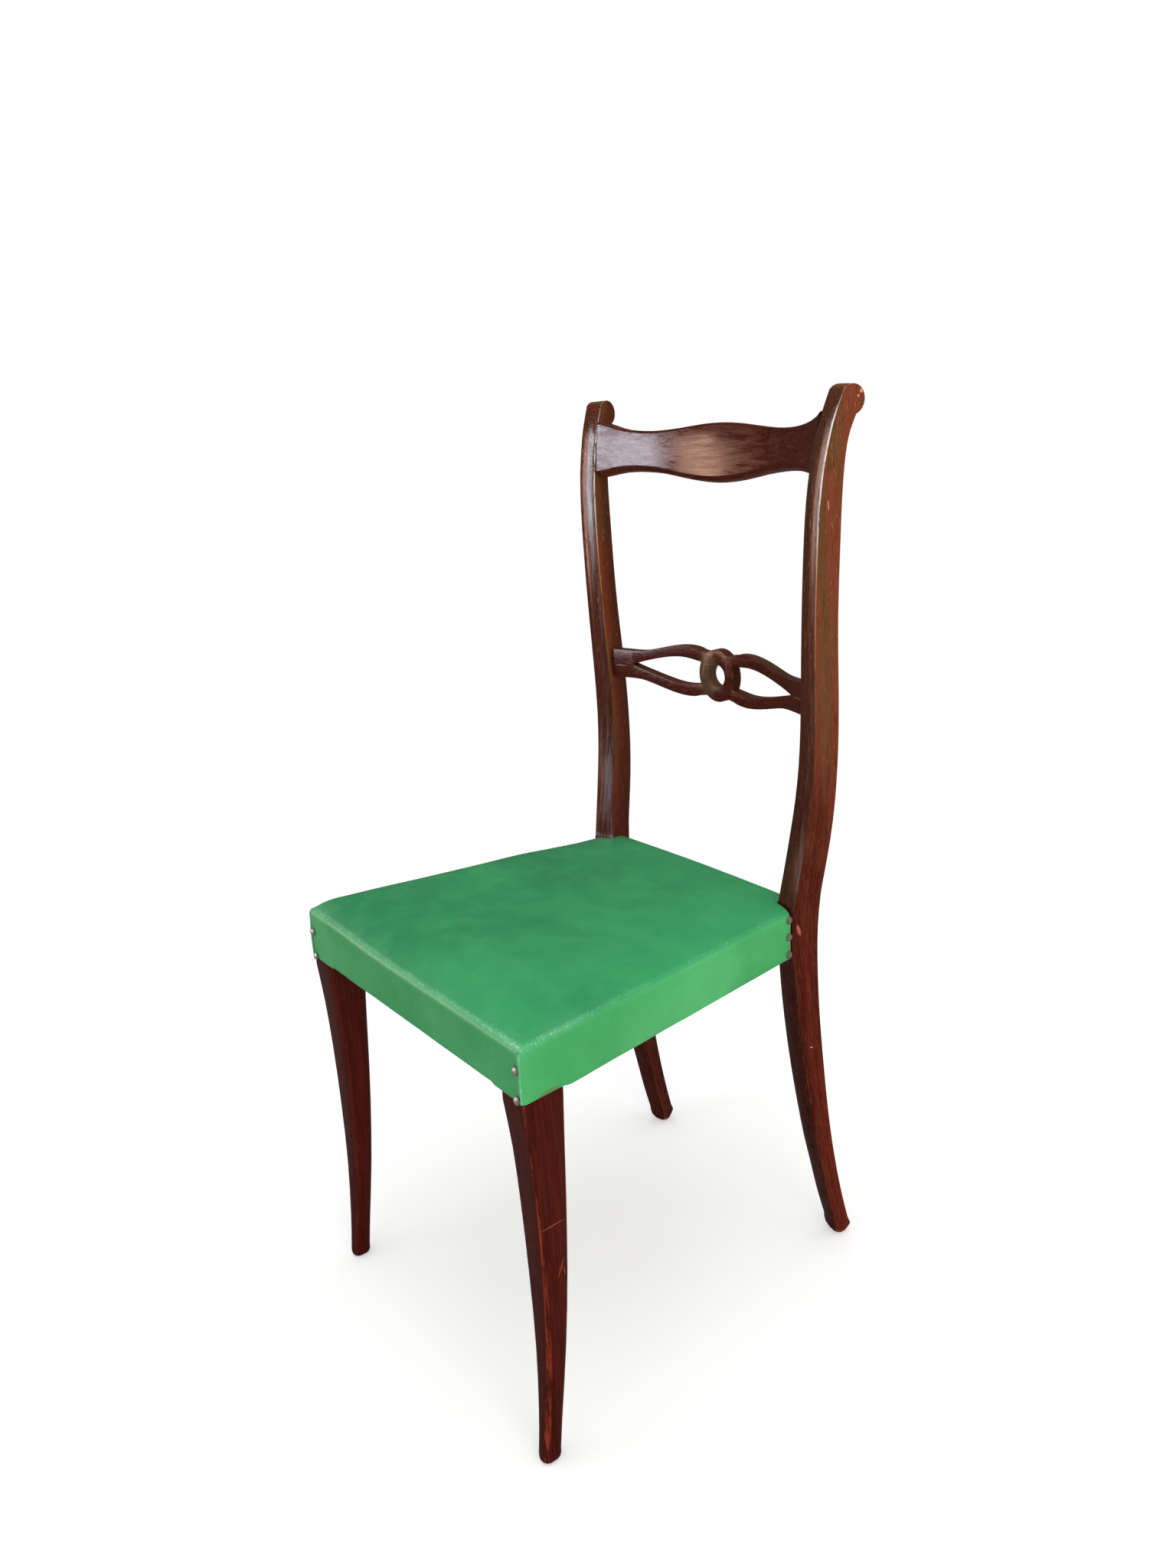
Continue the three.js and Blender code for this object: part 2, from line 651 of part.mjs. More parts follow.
for (const place of sides) {
  const clearOfPost = tool(postSpace(gap, railBottom - overrun, seatHeight + overrun), place.post);
  cut(rearRail, clearOfPost);

  const name = "side_seat_rail_" + place.side;
  place.sideRail = piece(name, box(
    [-coverInside - railThickness, 0, railBottom],
    [-coverInside, sideLength + overrun, frameTop],
  ), beech, place.flank);
  const behindLeg = box(
    [0, legRear + gap, 0],
    [seatFrontWidth, seatRearReach + overrun, seatHeight],
  );
  keep(place.sideRail, tool(behindLeg, place.half));
  const behindFace = box(
    [-seatRearWidth, postBlockFace - gap, 0],
    [seatRearWidth, seatDepth, seatHeight],
  );
  cut(place.sideRail, tool(behindFace, place.post));
}

// Each tenon overlaps its own rail by its length, and ends inside the leg or post.
for (const place of sides) {
  const frontSetback = coverInside + railThickness / 2 - tenonThickness / 2;
  tenon(frontRail, place.frontLeg, place.half,
    [legInner - tenonLap, -seatDepth + frontSetback, tenonBottom],
    [legInner + legTenonLength, -seatDepth + frontSetback + tenonThickness, tenonTop]);
  const flankTenon = [-frontSetback - tenonThickness, -frontSetback];
  tenon(place.sideRail, place.frontLeg, place.flank,
    [flankTenon[0], legTopDepth - legTenonLength, tenonBottom],
    [flankTenon[1], legTopDepth + tenonLap, tenonTop]);
  tenon(place.sideRail, place.rearPost, place.flank,
    [flankTenon[0], sideLength - tenonLap, tenonBottom],
    [flankTenon[1], sideLength + postTenonLength, tenonTop]);
  const postInside = -thicknessAt(tenonBottom);
  tenon(rearRail, place.rearPost, place.post,
    [postInside - tenonLap, postTenonSetback, tenonBottom],
    [postInside + postTenonLength, postTenonSetback + tenonThickness, tenonTop]);
}

// Back rails

function crestGeometry() {
  const lower = lineOver(crestLowerShares, crestHalfSpan, crestHeight);
  const upper = lineOver(crestUpperShares, crestHalfSpan, crestHeight);
  const stations = 36;
  const depth = crestThickness;
  const section = (x) => {
    const [low, high, y] = [lower(x), upper(x), -bow(x)];
    const outline = [
      ...arc(crestRollDepth, low + crestRollHeight, crestRollDepth, crestRollHeight, 1.5 * PI, PI),
      ...arc(crestSoftTop, high - crestSoftTop, crestSoftTop, crestSoftTop, PI, PI / 2, 3),
      ...arc(depth - crestSoftRear, high - crestSoftRear, crestSoftRear, crestSoftRear, PI / 2, 0, 3),
      ...arc(depth - crestSoftRear, low + crestSoftRear, crestSoftRear, crestSoftRear, 0, -PI / 2, 3),
    ];
    return outline.map(([v, z]) => [v + y, z]);
  };
  const rings = Array.from({ length: stations + 1 }, (_, i) => {
    const x = lerp(-crestHalfSpan, crestHalfSpan, i / stations);
    return section(x).map(([y, z]) => new THREE.Vector3(x, y, z));
  });
  return loft(rings, section(crestHalfSpan).map(([y, z]) => new THREE.Vector2(y, z)));
}

// A plank of even thickness on the bow, cut to its front view by a straight prism.
function lyreGeometry() {
  const stations = 40;
  const reach = lyreHalfSpan + postThickness / 2;
  const tall = 2 * lyreHalfHeight;
  const plank = Array.from({ length: stations + 1 }, (_, i) => {
    const x = lerp(-reach, reach, i / stations);
    const front = -bow(x);
    const back = front + lyreThickness;
    return [[front, -tall], [front, tall], [back, tall], [back, -tall]]
      .map(([y, z]) => new THREE.Vector3(x, y, z));
  });
  return loft(plank, plank[0].map((p) => new THREE.Vector2(p.y, p.z)));
}

function lyreView() {
  const scaled = ([x, h]) => [x * lyreHalfSpan, h * lyreHalfHeight];
  const ringStart = asin(ringJoin / ringHalfHeight);
  const arm = through([[1 + postThickness / lyreHalfSpan, lyreArmShares[0][1]], ...lyreArmShares]
    .map(scaled), 2);
  const crown = arc(0, 0, ringHalfWidth, ringHalfHeight, ringStart, PI / 2, 6);
  const quarter = [...arm, ...crown];
  const turned = (sx, sz) => quarter.map(([x, z]) => [sx * x, sz * z]);
  const outline = [
    ...quarter,
    ...turned(-1, 1).reverse().slice(1),
    ...turned(-1, -1),
    ...turned(1, -1).reverse().slice(1),
  ];
  const shape = new THREE.Shape(outline.map(([x, z]) => new THREE.Vector2(x, z)));
  const mouth = asin(ringMouth / ringHalfHeight);
  const upper = through(lyreLensShares.map(scaled), 2);
  const ringArc = arc(0, 0, ringHalfWidth, ringHalfHeight, mouth, -mouth, 6);
  const lower = upper.slice(1).reverse().map(([x, z]) => [x, -z]);
  const lens = [...upper, ...ringArc, ...lower];
  for (const sign of [1, -1]) {
    shape.holes.push(new THREE.Path(lens.map(([x, z]) => new THREE.Vector2(sign * x, z))));
  }
  const eye = arc(0, 0, ringHoleRadius, ringHoleRadius, 0, 2 * PI, 24).slice(1);
  shape.holes.push(new THREE.Path(eye.map(([x, z]) => new THREE.Vector2(x, z))));
  const depth = 2 * (lyreForward + lyreThickness);
  return new THREE.ExtrudeGeometry(shape, { depth, bevelEnabled: false })
    .rotateX(PI / 2)
    .translate(0, depth / 2, 0);
}

const crestFrame = new THREE.Group();
crestFrame.position.set(0, crestForward, crestBase);
crestFrame.rotation.x = -crestLean;
stance.add(crestFrame);
const crest = piece("crest_rail", crestGeometry(), mahogany, crestFrame);

const lyreFrame = new THREE.Group();
lyreFrame.position.set(0, lyreForward, lyreMiddle);
stance.add(lyreFrame);
const lyre = piece("lyre_rail", lyreGeometry(), mahogany, lyreFrame);
keep(lyre, tool(lyreView(), lyreFrame));

for (const place of sides) {
  const space = tool(postSpace(gap, seatHeight, postHeight + overrun, -postSweep), place.post);
  cut(crest, space);
  cut(lyre, space);
}

// The posts stand turned to the rails, so a back tenon runs square into the post's inner face.
function backTenon(rail, place, middle, height, thickness, setback) {
  const inside = -thicknessAt(middle);
  tenon(rail, place.rearPost, place.post,
    [inside - tenonLap, setback, middle - height / 2],
    [inside + backTenonLength, setback + thickness, middle + height / 2]);
}

for (const place of sides) {
  backTenon(crest, place, crestBase + crestHeight / 2, crestTenonHeight,
    crestTenonThickness, crestTenonSetback);
  backTenon(lyre, place, lyreMiddle, lyreTenonHeight, lyreTenonThickness, lyreTenonSetback);
}

// Corner blocks and their screws

const blockTop = frameTop - blockDrop;
const blockBottom = blockTop - blockHeight;
const sideInside = (y) => seatFrontWidth / 2 - (y + seatDepth) * sideSlope
  - (coverInside + railThickness) * hypot(1, sideSlope) - gap;

function screwGeometry(grow) {
  const [head, shank] = [screwHeadRadius + grow, screwShankRadius + grow];
  const point = screwShankRadius * 2;
  const profile = [
    [0, -screwLength - grow],
    [shank, -screwLength - grow + point],
    [shank, -grow],
    [head, -grow],
    [head, screwHeadHeight / 2],
    [head / 2, screwHeadHeight + grow],
    [0, screwHeadHeight + grow],
  ].map(([r, y]) => new THREE.Vector2(r, y));
  return new THREE.LatheGeometry(profile, 10);
}

// The screw's frame has +Y from its point to its head, and its origin under the head.
function blockScrew(name, frame, position, turn, block, rail) {
  const line = new THREE.Group();
  line.position.set(...position);
  line.rotation.z = turn;
  frame.add(line);
  piece(name, screwGeometry(0), steel, line);
  const wayIn = new THREE.CylinderGeometry(
    screwHeadRadius + gap, screwHeadRadius + gap, overrun, 12,
  ).translate(0, overrun / 2, 0);
  cut(block, tool(screwGeometry(gap), line), tool(wayIn, line));
  cut(rail, tool(screwGeometry(gap), line));
}

for (const { side, half, post, flank, sideRail } of sides) {
  const height = (blockTop + blockBottom) / 2;
  const frontFace = railBack + gap;
  const behindLeg = legRear + gap;
  const frontFar = frontFace + frontBlockReach + legTopDepth / 2;
  const frontBlock = piece("corner_block_front_" + side, prism([
    [legInner - gap, frontFace],
    [legInner - gap, behindLeg],
    [sideInside(behindLeg), behindLeg],
    [sideInside(frontFar), frontFar],
    [legInner - frontBlockReach, frontFace],
  ], blockBottom, blockTop), beech, half);

  const rearFace = rearRailFront - gap;
  const rearFar = rearFace - rearBlockReach;
  const rearBlock = piece("corner_block_rear_" + side, prism([
    [sideInside(rearFace), rearFace],
    [sideInside(rearFace) - rearBlockReach, rearFace],
    [sideInside(rearFar), rearFar],
  ], blockBottom, blockTop), beech, half);
  cut(rearBlock, tool(postSpace(gap, railBottom, frameTop), post));

  const seatOfHead = screwLength - screwBite;
  const sideHeads = -coverInside - railThickness - seatOfHead;
  blockScrew("block_screw_front_" + side + "_1", half,
    [legInner - frontBlockReach * frontScrewShare, railBack + seatOfHead, height], 0, frontBlock, frontRail);
  blockScrew("block_screw_front_" + side + "_2", flank,
    [sideHeads, legTopDepth + frontBlockReach * frontSideScrewShare, height],
    PI / 2, frontBlock, sideRail);
  blockScrew("block_screw_rear_" + side + "_1", half,
    [sideInside(rearFace) - rearBlockReach * rearScrewShare, rearRailFront - seatOfHead, height],
    PI, rearBlock, rearRail);
  blockScrew("block_screw_rear_" + side + "_2", flank,
    [sideHeads, sideLength - rearBlockReach * rearScrewShare, height],
    PI / 2, rearBlock, sideRail);
}

// Webbing: three straps each way, each over and under the others by turns

const strapLow = frameTop + gap;
const strapHigh = strapLow + strapThickness + gap;

function strapGeometry(from, to, crossings, startsHigh) {
  const level = (i) => ((i % 2 === 0) === startsHigh ? strapHigh : strapLow);
  const hold = strapWidth / 2 + strapThickness;
  const bottom = [
    [from, strapLow],
    [from + railThickness, strapLow],
    ...crossings.flatMap((at, i) => [[at - hold, level(i)], [at + hold, level(i)]]),
    [to - railThickness, strapLow],
    [to, strapLow],
  ];
  const top = bottom.map(([v, z]) => [v, z + strapThickness]).reverse();
  const shape = new THREE.Shape([...bottom, ...top].map(([v, z]) => new THREE.Vector2(v, z)));
  return new THREE.ExtrudeGeometry(shape, { depth: strapWidth, bevelEnabled: false })
    .translate(0, 0, -strapWidth / 2);
}

const crossPlaces = [0, 1, 2].map((i) => -seatDepth + crossStrapFirst + i * crossStrapSpacing);
const longPlaces = [-strapSpacing, 0, strapSpacing];
const upright = new THREE.Vector3(0, 0, 1);
longPlaces.forEach((x, i) => {
  const strap = strapGeometry(
    -seatDepth + coverInside + strapEndSetback,
    seatRearReach - seatRearBow - coverInside - strapEndSetback,
    crossPlaces, i % 2 === 0,
  );
  const along = new THREE.Vector3(0, 1, 0);
  const turn = new THREE.Matrix4().makeBasis(along, upright, new THREE.Vector3(1, 0, 0));
  piece("webbing_long_" + (i + 1), strap.applyMatrix4(turn).translate(x, 0, 0), webbing);
});
crossPlaces.forEach((y, i) => {
  const reach = seatFrontWidth / 2 - (y + seatDepth + strapWidth / 2) * sideSlope
    - coverInside - strapEndSetback;
  const strap = strapGeometry(-reach, reach, longPlaces, i % 2 === 1);
  const along = new THREE.Vector3(1, 0, 0);
  const turn = new THREE.Matrix4().makeBasis(along, upright, new THREE.Vector3(0, -1, 0));
  piece("webbing_cross_" + (i + 1), strap.applyMatrix4(turn).translate(0, y, 0), webbing);
});

// Base cloth, pad and cover

const clothBottom = strapHigh + strapThickness + gap;
const clothTop = clothBottom + baseClothThickness;
const padBottom = clothTop + gap;

const baseCloth = piece("base_cloth",
  prism(seatOutline(coverInside + baseClothSetback), clothBottom, clothTop), hessian);
const pad = piece("seat_pad", paddedForm(coverInside, padBottom), padding);

const shell = piece("seat_cover", paddedForm(0, coverOverLegRear - overrun / 2), leatherette);
const inside = tool(paddedForm(coverThickness, coverOverLegRear - overrun));
for (const { post } of sides) {
  const atWall = (by, bottom) => tool(postSpace(by, bottom, seatHeight + overrun), post);
  cut(baseCloth, atWall(coverInside + gap, railBottom));
  cut(pad, atWall(coverInside + gap, railBottom));
  store(inside, solidOf(inside).subtract(solidOf(atWall(coverInside, frameTop + gap))));
  cut(shell, atWall(gap, railBottom - overrun));
}
cut(shell, inside);

const lipTop = coverLipHeight + coverThickness;
const lip = tool(prism(seatOutline(coverThickness / 2), coverLipHeight, lipTop));
const opening = tool(prism(seatOutline(coverThickness + coverLip), 0, seatHeight));
const trimmed = tool(box(
  [-seatFrontWidth, -2 * seatDepth, 0],
  [seatFrontWidth, 2 * seatDepth, coverLipHeight],
));
const overLegs = sides.map(({ half }) => tool(overLeg(0), half));
store(trimmed, overLegs.reduce((solid, over) => solid.subtract(solidOf(over)), solidOf(trimmed)));
cut(shell, trimmed);
const clearance = (half) => tool(box(
  [legInner - gap, -2 * seatDepth, 0],
  [seatFrontWidth, legRear + gap, seatHeight],
), half);
store(lip, sides.reduce((solid, { half, post }) => solid
  .subtract(solidOf(clearance(half)))
  .subtract(solidOf(tool(postSpace(gap, railBottom - overrun, seatHeight), post))),
solidOf(lip).subtract(solidOf(opening))));
join(shell, lip);

// Dome nails through the cover

function nailGeometry() {
  const profile = [
    [0, -nailLength],
    [nailShankRadius, -nailLength + 2 * nailShankRadius],
    [nailShankRadius, gap],
    ...arc(0, gap, nailHeadRadius, nailHeadHeight, 0, PI / 2, 3),
  ];
  profile[profile.length - 1][0] = 0;
  return new THREE.LatheGeometry(profile.map(([r, y]) => new THREE.Vector2(r, y)), 12);
}

function shankHole() {
  const radius = nailShankRadius + gap;
  const depth = nailLength + 2 * gap;
  return new THREE.CylinderGeometry(radius, radius, depth + overrun, 8)
    .translate(0, (overrun - depth) / 2, 0);
}

function nail(name, frame, position, turn, carrier) {
  const line = new THREE.Group();
  line.position.set(...position);
  line.rotation.z = turn;
  frame.add(line);
  piece(name, nailGeometry(), nickel, line);
  const hole = tool(shankHole(), line);
  cut(shell, hole);
  cut(carrier, hole);
}

for (const { side, half, flank, frontLeg, sideRail } of sides) {
  frontNails.forEach(([inset, drop], i) => {
    nail("cover_nail_" + side + "_" + (i + 1), half,
      [seatFrontWidth / 2 - inset, -seatDepth, seatHeight - drop], PI, frontLeg);
  });
  sideNailDrops.forEach((drop, i) => {
    nail("cover_nail_" + side + "_" + (frontNails.length + i + 1), flank,
      [0, sideLength - sideNailSetback, seatHeight - drop], -PI / 2, sideRail);
  });
}

// The seat falls back, and the origin lies on the floor under the middle of the chair.
stance.rotation.x = -seatFall;
const extent = new THREE.Box3().setFromObject(chair, true);
stance.position.y = -(extent.min.y + extent.max.y) / 2;

export default chair;
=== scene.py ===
import math

import bmesh
import bpy
from mathutils import Matrix, Vector, noise


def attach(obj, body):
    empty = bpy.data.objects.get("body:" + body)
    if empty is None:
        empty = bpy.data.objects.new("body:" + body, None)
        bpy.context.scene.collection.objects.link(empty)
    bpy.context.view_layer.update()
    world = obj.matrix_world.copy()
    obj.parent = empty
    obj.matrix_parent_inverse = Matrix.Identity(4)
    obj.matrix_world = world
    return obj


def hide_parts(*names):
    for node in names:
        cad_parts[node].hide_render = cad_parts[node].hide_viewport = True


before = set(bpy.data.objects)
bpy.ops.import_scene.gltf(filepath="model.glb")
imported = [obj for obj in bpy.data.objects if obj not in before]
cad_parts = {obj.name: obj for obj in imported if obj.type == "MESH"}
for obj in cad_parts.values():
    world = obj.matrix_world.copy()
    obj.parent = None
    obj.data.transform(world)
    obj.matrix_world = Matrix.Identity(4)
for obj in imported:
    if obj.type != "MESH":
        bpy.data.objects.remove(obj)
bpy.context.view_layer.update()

MM = 0.001
SEAT_FALL = math.radians(0.65)
STANCE_SHIFT = 145.2371 * MM
STANCE = Matrix.Translation((0, STANCE_SHIFT, 0)) @ Matrix.Rotation(-SEAT_FALL, 4, "X")

# Sizes of the chair's own frame, in millimetres
SEAT_HEIGHT = 458.8
SEAT_FRONT = 424.0
SEAT_REAR = 342.2
SEAT_DEPTH = 388.0
SEAT_REACH = 35.0
SEAT_BOW = 5.0
SEAT_CORNER = 3.2
SEAT_ROUND = 9.0
COVER_THICKNESS = 1.4
POST_SPLAY = math.radians(1.9)
POST_TURN = math.radians(11.84)
POST_STANCE = 346.2
POST_WALL = 29.4
CREST_PLACE = (0, 54.8, 904.8)
CREST_LEAN = math.radians(9.5)
CREST_HEIGHT = 63.8
CREST_LOWER_RISE = 1.5
CREST_UPPER_DIP = 2.7

# Widths of the rounded arrises, in millimetres
POST_ARRIS = 1.9
LEG_ARRIS = 0.8
CREST_ARRIS = 0.6
LYRE_ARRIS = 0.45

# Points closer than this, in metres, are one, and faces turned by less are one flat
WELD = 0.00001
FLAT = math.radians(0.03)


# Working with pieces

def take(piece):
    """Selects one piece and nothing else."""
    bpy.ops.object.select_all(action="DESELECT")
    piece.select_set(True)
    bpy.context.view_layer.objects.active = piece


def edit(piece):
    """Opens a piece in edit mode with all of it selected."""
    take(piece)
    bpy.ops.object.mode_set(mode="EDIT")
    bpy.ops.mesh.select_all(action="SELECT")


def leave():
    """Goes back to object mode."""
    bpy.ops.object.mode_set(mode="OBJECT")


def apply_modifier(piece, kind, **values):
    """Adds a modifier with these values and makes it part of the mesh."""
    take(piece)
    modifier = piece.modifiers.new(kind.title(), kind)
    for name, value in values.items():
        setattr(modifier, name, value)
    bpy.ops.object.modifier_apply(modifier=modifier.name)


def set_in_place(piece):
    """Puts a piece's place and turn into its mesh."""
    take(piece)
    bpy.ops.object.transform_apply(location=True, rotation=True, scale=True)


def belongs(piece, material, slot, *nodes):
    """The piece rides on the chair, wears the material and stands for the CAD nodes."""
    piece.data.materials.clear()
    piece.data.materials.append(material)
    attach(piece, "root")
    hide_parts(*nodes)


def primitive(add, name, **values):
    """A new primitive, which is all that is selected."""
    bpy.ops.object.select_all(action="DESELECT")
    add(**values)
    piece = bpy.context.object
    piece.name = piece.data.name = name
    return piece


def face_outwards(piece):
    edit(piece)
    bpy.ops.mesh.normals_make_consistent(inside=False)
    leave()


def copy_of_node(node, name):
    """A new piece with a CAD node's mesh, its loose triangles merged and its flats made whole."""
    piece = bpy.data.objects.new(name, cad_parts[node].data.copy())
    bpy.context.scene.collection.objects.link(piece)
    edit(piece)
    bpy.ops.mesh.customdata_custom_splitnormals_clear()
    bpy.ops.mesh.remove_doubles(threshold=WELD)
    bpy.ops.mesh.dissolve_limited(angle_limit=FLAT)
    leave()
    return piece


def smooth_shading(piece, angle):
    """Smooth shading, but for edges sharper than the angle in degrees."""
    take(piece)
    bpy.ops.object.shade_smooth_by_angle(angle=math.radians(angle))


def soften(piece, width, angle=35.0):
    """Rounds the arrises that are sharper than the angle, marks their middle for the wear, and on
    the uprights for a painted highlight too, and smooths the shading between them."""
    mesh = piece.data
    mesh.materials.clear()
    for _ in range(2):
        mesh.materials.append(None)
    apply_modifier(
        piece, "BEVEL", width=width * MM, segments=3, limit_method="ANGLE",
        angle_limit=math.radians(angle), loop_slide=False, use_clamp_overlap=True, material=1,
    )
    flat = {i for face in mesh.polygons if face.material_index == 0 for i in face.vertices}
    mark_points(piece, "arris", [0.0 if i in flat else 1.0 for i in range(len(mesh.vertices))])
    mesh.polygons.foreach_set("material_index", [0] * len(mesh.polygons))
    smooth_shading(piece, 32)


def mark_points(piece, name, values):
    """Keeps a value for each point, for the materials to read."""
    piece.data.attributes.new(name, "FLOAT", "POINT").data.foreach_set("value", values)


def mesh_piece(name, points, faces):
    """A new piece from points in millimetres and faces."""
    mesh = bpy.data.meshes.new(name)
    mesh.from_pydata([Vector(p) * MM for p in points], [], faces)
    piece = bpy.data.objects.new(name, mesh)
    bpy.context.scene.collection.objects.link(piece)
    return piece


def smoothstep(low, high, value):
    """How far a value lies from low to high, 0 to 1, eased at both ends."""
    t = min(1.0, max(0.0, (value - low) / (high - low)))
    return t * t * (3 - 2 * t)


def lerp(a, b, t):
    return a + (b - a) * t


# Node trees

class Tree:
    """Adds nodes to a material or a group and links them by name."""

    def __init__(self, tree):
        self.tree = tree

    def add(self, kind, values=None, **settings):
        node = self.tree.nodes.new(kind)
        for key, value in settings.items():
            setattr(node, key, value)
        for socket, value in (values or {}).items():
            self.feed(node.inputs[socket], value)
        return node

    def feed(self, socket, value):
        """Links a socket to another, or sets its value. Text is a colour."""
        if isinstance(value, str):
            value = rgb(value)
        if isinstance(value, bpy.types.NodeSocket):
            self.tree.links.new(value, socket)
        else:
            socket.default_value = value

    def math(self, operation, a, b=0.0):
        return self.add("ShaderNodeMath", {0: a, 1: b}, operation=operation).outputs[0]

    def plus(self, a, b):
        return self.math("ADD", a, b)

    def times(self, a, b):
        return self.math("MULTIPLY", a, b)

    def vectors(self, operation, a, b):
        return self.add("ShaderNodeVectorMath", {0: a, 1: b}, operation=operation).outputs[0]

    def length(self, vector):
        return self.add("ShaderNodeVectorMath", {0: vector}, operation="LENGTH").outputs["Value"]

    def split(self, vector):
        """The three parts of a vector."""
        return self.add("ShaderNodeSeparateXYZ", {0: vector}).outputs

    def normal(self):
        return self.add("ShaderNodeNewGeometry").outputs["Normal"]

    def mark(self, name):
        """A value that the mesh keeps for each point."""
        return self.add("ShaderNodeAttribute", attribute_name=name).outputs["Fac"]

    def ramp(self, value, low, high, to_low=0.0, to_high=1.0):
        """A smooth step of a value from one range to another."""
        return self.add("ShaderNodeMapRange", {
            "Value": value, "From Min": low, "From Max": high, "To Min": to_low, "To Max": to_high,
        }, interpolation_type="SMOOTHSTEP").outputs[0]

    def blend(self, factor, a, b):
        node = self.add("ShaderNodeMix", data_type="RGBA")
        for socket, value in ((0, factor), (6, a), (7, b)):
            self.feed(node.inputs[socket], value)
        return node.outputs[2]

    def lay(self, colour, over, mask, share):
        """Lays a colour over another where the mask is, by a share."""
        return self.blend(self.times(mask, share), colour, over)

    def noise(self, vector, scale, detail=3.0, roughness=0.5, distortion=0.0):
        return self.add("ShaderNodeTexNoise", {
            "Vector": vector, "Scale": scale, "Detail": detail, "Roughness": roughness,
            "Distortion": distortion,
        }).outputs["Fac"]

    def squash(self, vector, x, y, z):
        return self.add("ShaderNodeMapping", {"Vector": vector, "Scale": (x, y, z)}).outputs[0]


def group(name, inputs, outputs):
    """A shader node group. Returns its tree, its inputs and a way to set its outputs."""
    made = bpy.data.node_groups.new(name, "ShaderNodeTree")
    kinds = {"value": "NodeSocketFloat", "vector": "NodeSocketVector"}
    for socket, (kind, default) in inputs.items():
        item = made.interface.new_socket(name=socket, in_out="INPUT", socket_type=kinds[kind])
        if default is not None:
            item.default_value = default
    for socket, kind in outputs.items():
        made.interface.new_socket(name=socket, in_out="OUTPUT", socket_type=kinds[kind])
    tree = Tree(made)
    start = tree.add("NodeGroupInput")
    end = tree.add("NodeGroupOutput")
    return tree, start.outputs, lambda socket, value: tree.feed(end.inputs[socket], value)


def rgb(text):
    """A colour as it looks on the screen, six hex digits, as linear numbers and a full alpha."""
    parts = [int(text[i:i + 2], 16) / 255 for i in (0, 2, 4)]
    return (*[c / 12.92 if c <= 0.04045 else ((c + 0.055) / 1.055) ** 2.4 for c in parts], 1.0)


def grain_group():
    """Long streaks, broad bands and fine pores of sawn timber. Its vector is squashed along the
    grain."""
    tree, given, put = group("wood_grain", {
        "Vector": ("vector", None), "Streak Scale": ("value", 150.0),
    }, {"Streaks": "value", "Bands": "value", "Pores": "value", "Height": "value"})
    streaks = tree.noise(given["Vector"], given["Streak Scale"], 7.0, 0.62, 0.35)
    bands = tree.noise(given["Vector"], 32.0, 4.0, 0.55, 0.9)
    pores = tree.noise(given["Vector"], 900.0, 2.0, 0.5)
    put("Streaks", tree.ramp(streaks, 0.32, 0.68))
    put("Bands", tree.ramp(bands, 0.3, 0.7))
    put("Pores", tree.ramp(pores, 0.58, 0.72))
    raised = tree.times(streaks, 0.5)
    put("Height", tree.math("SUBTRACT", raised, tree.ramp(pores, 0.55, 0.75)))
    return tree.tree


def arris_group():
    """Mask of the arrises that hands and knocks have rubbed, broken up along their length; on the
    uprights it also carries a painted highlight.
    """
    tree, given, put = group("arris_rub", {
        "Vector": ("vector", None), "Arris": ("value", 0.0), "Reach": ("value", 0.5),
    }, {"Mask": "value"})
    breaks = tree.noise(given["Vector"], 170.0, 6.0, 0.72)
    edge = tree.math("SUBTRACT", tree.plus(breaks, given["Reach"]), 1.0)
    put("Mask", tree.times(tree.ramp(given["Arris"], 0.0, 0.6), tree.ramp(edge, 0.0, 0.1)))
    return tree.tree


def edge_shade_group():
    """Mask of a band along all edges, as wide as the radius, where shade is painted."""
    tree, given, put = group("painted_edge_shade_mask", {"Radius": ("value", 0.004)}, {"Mask": "value"})
    rounded = tree.add("ShaderNodeBevel", {"Radius": given["Radius"]}, samples=6).outputs[0]
    dot = tree.add("ShaderNodeVectorMath", {0: rounded, 1: tree.normal()}, operation="DOT_PRODUCT")
    put("Mask", tree.ramp(dot.outputs["Value"], 0.995, 0.90))
    return tree.tree


def mark_group():
    """Mask of one worn, chipped or scratched place, or of a painted reflection, given by its middle
    and its half sizes.
    """
    tree, given, put = group("wear_and_reflection_place", {
        "Vector": ("vector", None), "Middle": ("vector", None), "Turn": ("vector", None),
        "Size": ("vector", (1.0, 1.0, 1.0)), "Roughness": ("value", 0.4),
    }, {"Mask": "value"})
    moved = tree.vectors("SUBTRACT", given["Vector"], given["Middle"])
    turned = tree.add("ShaderNodeVectorRotate", {
        "Vector": moved, "Rotation": given["Turn"],
    }, rotation_type="EULER_XYZ", invert=True).outputs[0]
    length = tree.length(tree.vectors("DIVIDE", turned, given["Size"]))
    ragged = tree.times(tree.noise(given["Vector"], 700.0, 4.0, 0.6), given["Roughness"])
    put("Mask", tree.ramp(tree.plus(length, ragged), 1.15, 0.85))
    return tree.tree


def weave_group():
    """Over and under threads of a plain weave, as a height and a shade."""
    tree, given, put = group("plain_weave", {
        "Vector": ("vector", None), "Threads": ("value", 400.0),
    }, {"Height": "value", "Shade": "value"})
    parts = tree.split(given["Vector"])
    across = tree.math("SINE", tree.times(parts[0], given["Threads"]))
    along = tree.math("SINE", tree.times(parts[1], given["Threads"]))
    checks = tree.times(across, along)
    fluff = tree.noise(given["Vector"], 900.0, 4.0, 0.7)
    put("Height", tree.plus(checks, fluff))
    put("Shade", tree.ramp(tree.plus(tree.times(checks, 0.35), fluff), 0.1, 0.9))
    return tree.tree


GRAIN, ARRIS, EDGE_SHADE = grain_group(), arris_group(), edge_shade_group()
MARK, WEAVE = mark_group(), weave_group()


